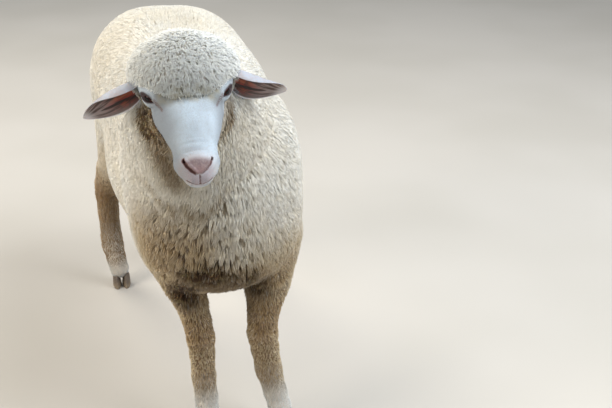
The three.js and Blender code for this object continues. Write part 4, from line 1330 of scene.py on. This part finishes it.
def coat(name, V_and_shade, uv, roots, material, slot, luck=None, more_dust_and_shade=0.0):
    V, shade = V_and_shade
    n = len(V)
    luck = rng.random(n) if luck is None else luck
    # painted shade with some dust, by place, plus the chest clefts' extra painted shade
    dusk, low_ = tones(roots)
    dusk = np.maximum(dusk, more_dust_and_shade)
    # painted shade and greyer hair on the face's sides and before the eyes
    thin, sand = hollow(to_head(roots)) if slot == "face_hair" else np.zeros((2, n))
    parts = int(math.ceil(n / MOST))
    for i in range(parts):
        s = slice(i * n // parts, (i + 1) * n // parts)
        k = s.stop - s.start
        loops = (LOCK_TRIS[None] + 5 * np.arange(k)[:, None, None]).ravel()
        UV = (np.clip(uv[s], 0.004, 0.996)[:, None, None, :] + LOCK_UV[None] * 0.003).reshape(-1, 2)
        at = {"along": np.tile(ALONG, k)}
        for key, value in (("luck", luck), ("dusk", dusk), ("low", low_), ("hollow", thin if slot == "face_hair" else np.full(n, 0.45)), ("sand", sand)):
            at[key] = np.repeat(value[s], 5)
        ob = make_mesh(name + ("_%02d" % (i + 1) if parts > 1 else ""), V[s].reshape(-1, 3), loops, np.full(6 * k, 3), UV, at, (material,),
                       normals=shade[s].reshape(-1, 3))
        coat_pieces.append((ob.name, 6 * k))


def staples(P, spacing):
    """Numbers of the staples that roots belong to, each about `spacing` mm wide and longer than wide."""
    P = P * (1.0, 1.0, 0.6)
    cell = np.floor(P / spacing).astype(np.int64)
    key = (cell[:, 0] * 4096 + cell[:, 1]) * 4096 + cell[:, 2]
    order = rng.permutation(len(P))
    _, first = np.unique(key[order], return_index=True)
    seeds = P[order[first]]
    tree = KDTree(len(seeds))
    for i, p in enumerate(seeds):
        tree.insert(p, i)
    tree.balance()
    return np.array([tree.find(p)[1] for p in P]), len(seeds)


tri_deep = DEEP[TRI_V].mean(1)
tri_mid = V_all[TRI_V].mean(1)
tri_z = tri_mid[:, 2]
tri_bare = BARE[TRI_V].max(1)
tri_face = mk["face"][TRI_V].mean(1)
tri_ahead = np.where((tri_mid[:, 1] < 60) & (tri_z > 480), to_head(tri_mid)[:, 1], -200)
tri_q = to_head(tri_mid)
tri_onface = (tri_ahead > 24) & (face_form(tri_q) < 2.0) & (cheek(tri_q) < 0.5)
is_body = TRI_KIND == 0
hair_here = (tri_face > 0.5) | tri_onface
woolly = is_body & ~hair_here & (tri_z > 150) & (tri_deep > 2.5)
is_leg = woolly & (tri_z < 345) & (tri_deep < 13.5)


def wool(name, where, spacing, radius, staple, leg=False, soft=3.0):
    P, UV, pick, bar = scatter(where.astype(float), spacing)
    n = len(P)
    N_ = unit(slope(skin, P, 0.8))
    deep = np.maximum(-in_parts(outer, P) - relief(P), 2.2)
    F_ = lie(P)
    cap_ = (P[:, 1] < 60) & (P[:, 2] > 600)
    w = np.zeros(n)
    w[cap_] = step((-1 - egg(to_head(P[cap_]), *CAP)) / 7)
    v = bib(P)
    chest = step((30 - P[:, 1]) / 60) * step((10 - v) / 30) * step((P[:, 2] - 300) / 60)
    side_ = np.maximum(step((P[:, 0] + 2) / 50), step((-95 - P[:, 0]) / 45))
    chest = chest * (1 - 0.88 * side_) * (1 - w)
    number, total = staples(P, staple)
    pick_ = lambda sd: rng.normal(0, sd, total)[number]
    lean = 0.80 + 0.04 * chest + pick_(0.03) * (1 + 2.2 * chest)
    bend = 0.40 + pick_(0.04) * (1 + 2.2 * chest)
    lean = (1 - w) * lean + w * (0.66 + pick_(0.06))
    bend = (1 - w) * bend + w * (0.55 + pick_(0.07))
    if leg:
        lean, bend = 0.98 + pick_(0.10), np.full(n, 0.26)
    # each staple leans its own way, most of all on the poll
    side = np.cross(N_, tangent(F_, N_))
    F_ = tangent(F_, N_) + side * pick_(1.0)[:, None] * (0.07 + 0.15 * chest + 0.26 * w)[:, None] - tangent(F_, N_) * (w * np.abs(pick_(0.25)))[:, None]
    width = radius * (1 + rng.normal(0, 0.12, n)) * (1 - 0.1 * w)
    # clefts between the chest's staples: shorter wool, browner with dust and darkened further as painted shade
    cleft = (rng.random(total) < 0.2)[number] * chest
    deep = deep * (1 - 0.32 * cleft)
    pull = 0.08 + 0.54 * chest + 0.06 * w
    V, shade = locks(P, N_, F_, deep * (1 + pick_(0.025) * (1 + chest)), width, lean, bend, 0.22 + 0.14 * w, 0.45 + 0.25 * chest + 0.6 * w, number, pull, soft=soft)
    order = np.lexsort((P[:, 0] > 0, np.floor(P[:, 1] / 60)))
    luck = np.clip(rng.random(n) * 0.7 + rng.random(total)[number] * 0.3, 0, 1)
    coat(name, (V[order], shade[order]), UV[order], P[order], WOOL, "leg_fleece" if leg else "fleece", luck[order],
         (0.46 * cleft)[order])


ahead_ = tri_mid[:, 1] < 150
capped = (tri_mid[:, 1] < 60) & (tri_z > 600)
capped[capped] = egg(to_head(tri_mid[capped]), *CAP) < -2
wool("wool_poll", woolly & capped, 1.6, 0.74, 2.8, soft=3.5)
wool("wool_front", woolly & ahead_ & ~capped & ~is_leg, 2.1, 0.98, 6.5)
wool("wool_back", woolly & ~ahead_ & ~is_leg, 2.6, 1.28, 8.0)
wool("wool_legs", is_leg, 2.4, 0.9, 6.0, leg=True)

# short hair on the lower legs and feet
feet = is_body & (tri_z <= 150) & (tri_z > 12)
P, UV, pick, bar = scatter(feet.astype(float), 2.5)
N_ = unit(slope(skin, P, 0.8))
F_ = np.tile([0.0, -0.12, -1.0], (len(P), 1))
deep = np.clip(-in_parts(outer, P), 1.2, 5.0)
V = locks(P, N_, F_, deep * (1 + rng.normal(0, 0.08, len(P))), np.full(len(P), 0.62), np.full(len(P), 1.12), 0.15, 0.12, 0.2)
coat("hair_feet", V, UV, P, WOOL, "leg_fleece")

# short hair on the face: flat, running back from the nose
face = is_body & hair_here & (tri_z > 300) & (tri_bare < 0.12) & (mk["line"][TRI_V].max(1) < 0.35)
P, UV, pick, bar = scatter(face.astype(float), 1.5)
N_ = unit(slope(skin, P, 0.6))
q = to_head(P)
m_ = np.abs(q[:, 0])
G = np.stack([0.5 * np.sign(q[:, 0]) * step(m_ / 20), np.full(len(q), -1.0), np.zeros(len(q))], 1)
F_ = G @ HR
edge = hollow(q)[1]                 # longer, sandy hair where the cap's wool begins
V = locks(P, N_, F_, 0.55 + 1.7 * edge + rng.normal(0, 0.06, len(P)), 0.25 + 0.12 * edge, 1.36 - 0.45 * edge, 0.06, 0.12, 0.1, soft=4.0)
coat("hair_face", V, UV, P, HAIR, "face_hair")

# hair on the backs and rims of the ears
ears = (TRI_KIND == 1) | (TRI_KIND == 3)
inner_rim = (TRI_KIND == 2) & (np.abs(side[TRI_V]).mean(1) > 0.80) & (far[TRI_V].mean(1) > 0.02)
P, UV, pick, bar = scatter((ears | inner_rim).astype(float), 1.9)
e_n = unit(np.cross(B_ - A_, C_ - A_))[pick]
head_side = to_head(P)[:, 0] > 0
F_ = np.where(head_side[:, None], ear_parts["left"]["axes"][0], ear_parts["right"]["axes"][0])
R_out = np.where(head_side[:, None], ear_parts["left"]["axes"][2], ear_parts["right"]["axes"][2])
s_root = at_roots(side, pick, bar)
F_ = F_ + R_out * (s_root * 0.7)[:, None]
rimmed = TRI_KIND[pick] != 1
V = locks(P, e_n, F_, np.where(rimmed, 1.7, 1.25) + rng.normal(0, 0.12, len(P)), np.full(len(P), 0.36), np.where(rimmed, 1.05, 1.2), 0.1, 0.2, 0.15)
coat("hair_ears", V, UV, P, HAIR, "ear")

# ------------------------------------------------------------------------------- stage
bpy.ops.mesh.primitive_plane_add(size=14, location=(0, 0, -0.0005))
floor = bpy.context.object
floor.name = "floor"
m, N, shader = surface("floor", 0.85)
N.put(shader.inputs["Base Color"], N.mix(N.ramp(N.noise(1.5, 2.0, 0.5), 0.3, 0.7), rgb(206, 202, 196), rgb(199, 195, 188)))
floor.data.materials.append(m)

world = bpy.data.worlds.new("world")
bpy.context.scene.world = world
world.use_nodes = True
world.node_tree.nodes["Background"].inputs[0].default_value = (0.9, 0.95, 1.0, 1)
world.node_tree.nodes["Background"].inputs[1].default_value = 0.36
bpy.context.scene.view_settings.view_transform = "Standard"


def lamp(name, place, target, size, power, colour):
    data = bpy.data.lights.new(name, "AREA")
    data.shape, data.size, data.energy, data.color = "DISK", size, power, colour
    ob = bpy.data.objects.new(name, data)
    ob.location = place
    ob.rotation_euler = (Vector(target) - Vector(place)).to_track_quat("-Z", "Y").to_euler()
    bpy.context.scene.collection.objects.link(ob)
    return ob


lamp("sun_soft", (-0.9, 2.3, 2.7), (0, 0.1, 0.5), 1.2, 47, (1.0, 0.94, 0.82))
lamp("sky_soft", (1.75, -1.15, 2.6), (0, -0.2, 0.5), 2.6, 110, (0.96, 0.985, 1.0))
lamp("bounce_soft", (-2.4, -0.35, 1.5), (0, -0.05, 0.6), 1.6, 49, (1.0, 0.92, 0.80))

# ------------------------------------------------------------------------------- camera
cam_data = bpy.data.cameras.new("camera")
cam_data.sensor_width = 36.0
cam_data.sensor_fit = "HORIZONTAL"
cam_data.lens = 1000.0 / 612.0 * 36.0
cam = bpy.data.objects.new("camera", cam_data)
f_, th, roll, Hc, cx, cy, yaw = 1000.0, 0.42725, -0.0053, 1.13468, 0.13189, -1.47933, 0.30319
c_, s_ = math.cos(yaw), math.sin(yaw)
eye_at = np.array([cx * c_ + cy * s_, -cx * s_ + cy * c_, Hc]) + SHIFT * 0.001
fwd = np.array([s_ * math.cos(th), c_ * math.cos(th), -math.sin(th)])
rgt = np.array([c_, -s_, 0.0])
upv = np.cross(rgt, fwd)
rr_, uu_ = rgt * math.cos(roll) - upv * math.sin(roll), upv * math.cos(roll) + rgt * math.sin(roll)
from mathutils import Matrix
R_ = Matrix(((rr_[0], uu_[0], -fwd[0]), (rr_[1], uu_[1], -fwd[1]), (rr_[2], uu_[2], -fwd[2])))
cam.matrix_world = Matrix.Translation(Vector(eye_at)) @ R_.to_4x4()
bpy.context.scene.collection.objects.link(cam)
bpy.context.scene.camera = cam

print("coat", sum(n for _, n in coat_pieces), coat_pieces, "skin quads", len(Q_all))
